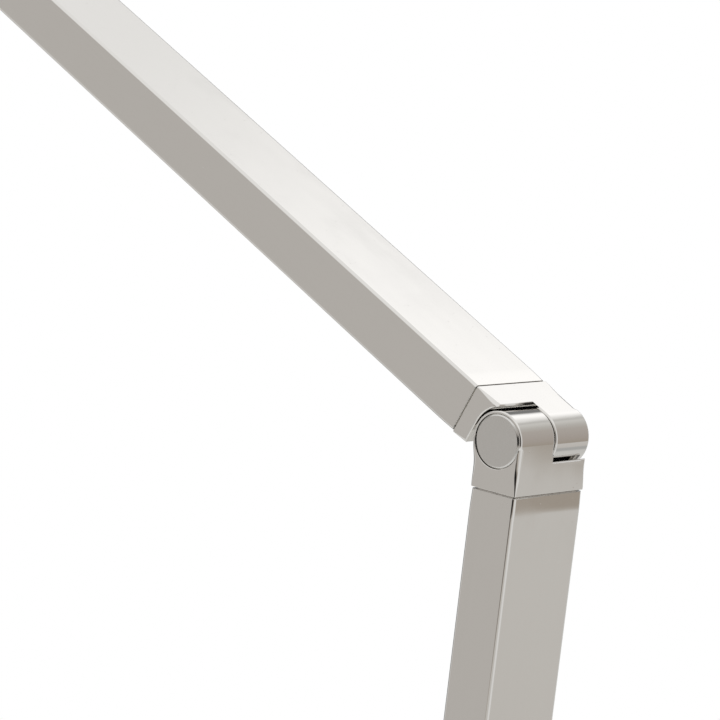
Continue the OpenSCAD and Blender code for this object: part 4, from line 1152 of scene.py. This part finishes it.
place = result(drawn_tube, "ShaderNodeCombineXYZ", {
    0: place_x, 1: drawn_in(place_y, given["Thickness"]), 2: drawn_in(place_z, given["Width"])})
outside = result(drawn_tube, "GeometryNodeSetPosition", {"Geometry": outside, "Position": place})
inside = tube_skin(5.0, given["Wall"], 0.3)
cuts = result(drawn_tube, "GeometryNodeObjectInfo", {"Object": given["Cuts"]}, "Geometry")
hollow = put(drawn_tube, "GeometryNodeMeshBoolean", {"Mesh 1": outside}, operation="DIFFERENCE",
             solver="EXACT")
for cutter in (inside, cuts):
    drawn_tube.links.new(cutter.socket, hollow.inputs["Mesh 2"])
put(drawn_tube, "NodeGroupOutput", {"Geometry": Value(hollow.outputs[0])})


def bar_tube(name, node, place, end, look, *cuts):
    """A tube whose far end and cuts are in millimetres from its block's pivot."""
    cuts = joined(*cuts)
    cuts.transform(Matrix.Translation((0, -PIVOT_OFF, 0)))
    cutter = new_object("cutter", cuts)
    piece = new_object(name, grown(drawn_tube, {
        "From": SEAM + SEAM_GAP / 2, "To": end, "Width": BAR_W, "Thickness": BAR_T,
        "Corner": TUBE_CORNER, "Wall": TUBE_WALL, "Roll-off": 0.17, "Roll-off length": 7.4,
        "Cuts": cutter}))
    bpy.data.objects.remove(cutter)
    rounding = piece.modifiers.new("eased", "BEVEL")
    rounding.limit_method, rounding.angle_limit = "ANGLE", radians(40)
    rounding.width, rounding.segments, rounding.use_clamp_overlap = 0.15, 2, False
    finished(name, flat_shaded(evaluated(piece), 2.0), look, node,
             place=place @ Matrix.Translation((0, PIVOT_OFF, 0)))


def far_holes(turned_over):
    """Grub screw holes at a bar's far end, where its other block may face the other way."""
    holes = grub_holes(RUN - GRUB_AT)
    if turned_over:
        for hole in holes:
            hole.transform(Matrix.Translation((0, 2 * PIVOT_OFF, 0)) @ Matrix.Scale(-1, 4, (0, 1, 0)))
    return holes


for bar, foot, angle, turned_over in (("lower", lower_foot, lower_angle, True),
                                      ("upper", upper_foot, upper_angle, False)):
    bar_tube(bar + "_bar", bar + "_tube", foot, RUN - SEAM - SEAM_GAP / 2,
             polished(bar + "_bar_nickel", angle), *grub_holes(GRUB_AT), *far_holes(turned_over))

# ---- Grub screws and leads -------------------------------------------------------------------
# Cup-point socket screws, two at each end of a bar on the side of the fold. Inside each bar
# a sheathed lead runs from one hollow bolt's window to the next.


def grub_screws():
    """Two grub screws about a block's pivot, pointing away from the fold."""
    profile = [(AXIS, 0.1), (1.8, 0.1), (2.0, 0.3)] + thread(2.0, 0.18, 0.45, 0.35, 12)
    profile += [(1.9, 4.7), (1.3, 5.0), (0.9, 5.0), (AXIS, 4.7)]
    screw = carved(turned(profile, steps=32), ("DIFFERENCE", hexagon(2.0, -1, 2.5)))
    mesh = rows_of(screw, black_steel, 1, 2, 0, GRUB_PITCH)
    mesh.transform(Matrix.Translation((GRUB_AT, INNER, 0)) @ Matrix.Rotation(-pi / 2, 4, "X"))
    return mesh


def grubs(name, node, *ends):
    """The grub screws of one bar; each end is the matrix of its block."""
    meshes = []
    for end in ends:
        mesh = grub_screws()
        mesh.transform(to_metres.inverted() @ end)
        meshes.append(mesh)
    finished(name, joined(*meshes), black_steel, node)


grubs("lower_grubs", "lower_grub_screws", lower_foot, lower_top)
grubs("upper_grubs", "upper_grub_screws", upper_foot, upper_top)
CLEAR, BORE_END = 5.9, SEAM + SPIGOT_L
near_end = [(CLEAR, 0, LEAD_AT), (BORE_END, 0, LEAD_AT)]
for bar, foot, y, z in (("lower", lower_foot, 1.8, LEAD_AT), ("upper", upper_foot, 0, -LEAD_AT)):
    leads(bar + "_bar_lead", bar + "_lead", foot,
          near_end + [(RUN - BORE_END, y, z), (RUN - CLEAR, y, z)])

# ---- Light head ------------------------------------------------------------------------------
# The last bar is the same tube with a long window underneath. An aluminium channel inside it
# carries the LED board; its legs press an opal acrylic sheet down onto the window's rims.

HEAD_L, CAP_T = 330, 3.0
TUBE_END = HEAD_L - CAP_T
WINDOW_W, LIGHT_FROM, LIGHT_TO = 31.0, BORE_END + 6, TUBE_END - 10
OPAL_OVER = 4.0                       # from the window's end to the opal sheet's
window = through([[(x, INNER + y, z * WINDOW_W / 2)
                   for y, z in ((-1, -1), (-1, 1), (2.2, 1), (2.2, -1))]
                  for x in (LIGHT_FROM, LIGHT_TO)])
bar_tube("head_bar", "head_tube", head_foot, TUBE_END, polished("head_bar_nickel", 0),
         window, *grub_holes(GRUB_AT))
grubs("head_grubs", "head_grub_screws", head_foot)
BOARD_T = 1.6
BOARD_LOW = OUTER - TUBE_WALL - 2.5 - BOARD_T
leads("head_bar_lead", "head_lead", head_foot,
      near_end + [(LIGHT_FROM - OPAL_OVER + 6, BOARD_LOW - 1.9, LEAD_AT)])
finished("led_channel", eased("led_carrier", 0.25, least=60),
         grainy("extruded_aluminium", (0.52, 0.525, 0.53), (0.68, 0.685, 0.69), 0.34, 900, 3e-6,
                speckle=0.1, metallic=1.0, streak=(0.04, 1, 1)), "led_carrier")

# the board's solder mask is white and a little blotched; a copper track shows as a faint ridge
# on each side of the row of LEDs
material, shader, point = new_look("white_solder_mask")
track = band(calc("ABSOLUTE", split(point)[1]), 0.0031, 0.0075, 0.0001, 0.0001)
blotches = noise(point, 900.0, 3.0)
colour = tinted(track * 0.6, (0.80, 0.80, 0.78), (0.72, 0.72, 0.69))
colour = tinted(smooth_step(blotches, 0.3, 0.8) * 0.25, colour, (0.66, 0.66, 0.63))
finish(shader, colour, 0.35 + swing(blotches, 0.1), track * 4e-5)
finished("led_board", eased("led_board", 0.15, least=60), material, "led_board")

# each LED is a white frame round a domed fill of yellow phosphor
package = through([[(s * a, t * a, z) for s, t in ((-1, -1), (1, -1), (1, 1), (-1, 1))]
                   for a, z in ((1.75, 0), (1.75, 0.7), (1.65, 0.8), (1.35, 0.8), (1.25, 0.6),
                                (0.7, 0.62), (AXIS, 0.64))])
material, shader, point = new_look("led_phosphor")
CHIP_PITCH, CHIP_COUNT = 10.0, 26
local = result(point, "ShaderNodeVectorMath", {0: point, 1: head_foot.to_translation()},
               operation="SUBTRACT")
along, aside, _ = split(local)
along = calc("MODULO", along * -1000.0 - LIGHT_FROM, CHIP_PITCH) - CHIP_PITCH / 2
reach = calc("MAXIMUM", calc("ABSOLUTE", along), calc("ABSOLUTE", aside * 1000.0))
grit = noise(point, 2500.0, 3.0)
colour = tinted(smooth_step(reach, 1.24, 1.34, 1.0, 0.0), (0.82, 0.82, 0.79),
                tinted(grit, (0.78, 0.56, 0.08), (0.88, 0.70, 0.16)))
finish(shader, colour, 0.3 + swing(grit, 0.1), swing(grit, 1e-5))
chips = rows_of(package, material, CHIP_COUNT, 1, CHIP_PITCH, 0)
chips.transform(Matrix.Translation((LIGHT_FROM + CHIP_PITCH * CHIP_COUNT / 2, BOARD_LOW, 0))
                @ Matrix.Rotation(pi / 2, 4, "X"))
finished("led_chips", chips, material, "led_chips", place=head_foot)

material, shader, point = new_look("opal_acrylic")
grit = noise(point, 3000.0, 2.0)
colour = tinted(noise(point, 90.0, 3.0), (0.86, 0.86, 0.84), (0.90, 0.90, 0.885))
finish(shader, colour, 0.38 + swing(grit, 0.12), swing(grit, 2e-6))
shader.inputs["Subsurface Weight"].default_value = 0.5
shader.inputs["Subsurface Radius"].default_value = (0.002, 0.002, 0.002)
finished("opal_sheet", eased("opal_sheet", 0.2, least=60), material, "opal_sheet")

# ---- End cap -----------------------------------------------------------------------------------
# A machined cap closes the tip with the tube's own section and a plug inside it. Two small
# countersunk screws hold it to the channel.


def cap_edge(x, y, z):
    """Only the edges of the cap's outer face are eased, not its plug's or its screw holes'."""
    local = head_foot.inverted() @ (to_metres @ Vector((x, y, z)))
    beside_plug = abs(local.z) > 18 or abs(local.y - PIVOT_OFF) > 8.5
    return 1.0 if beside_plug and local.x > HEAD_L - 0.1 else 0.0


finished("end_cap", eased("head_end_cap", 0.5, share=cap_edge),
         polished("end_cap_nickel", 90, Haze=0.04), "head_end_cap")
screws = rows_of(countersunk(1.25, 10.0), black_steel, 1, 2, 0, 28)
along_the_head = Matrix(((0, 0, -1), (-1, 0, 0), (0, 1, 0))).to_4x4()
screws.transform(Matrix.Translation((HEAD_L, BOARD_LOW + BOARD_T - 1.3, 0)) @ along_the_head)
finished("end_cap_screws", screws, black_steel, "end_cap_screws", place=head_foot)
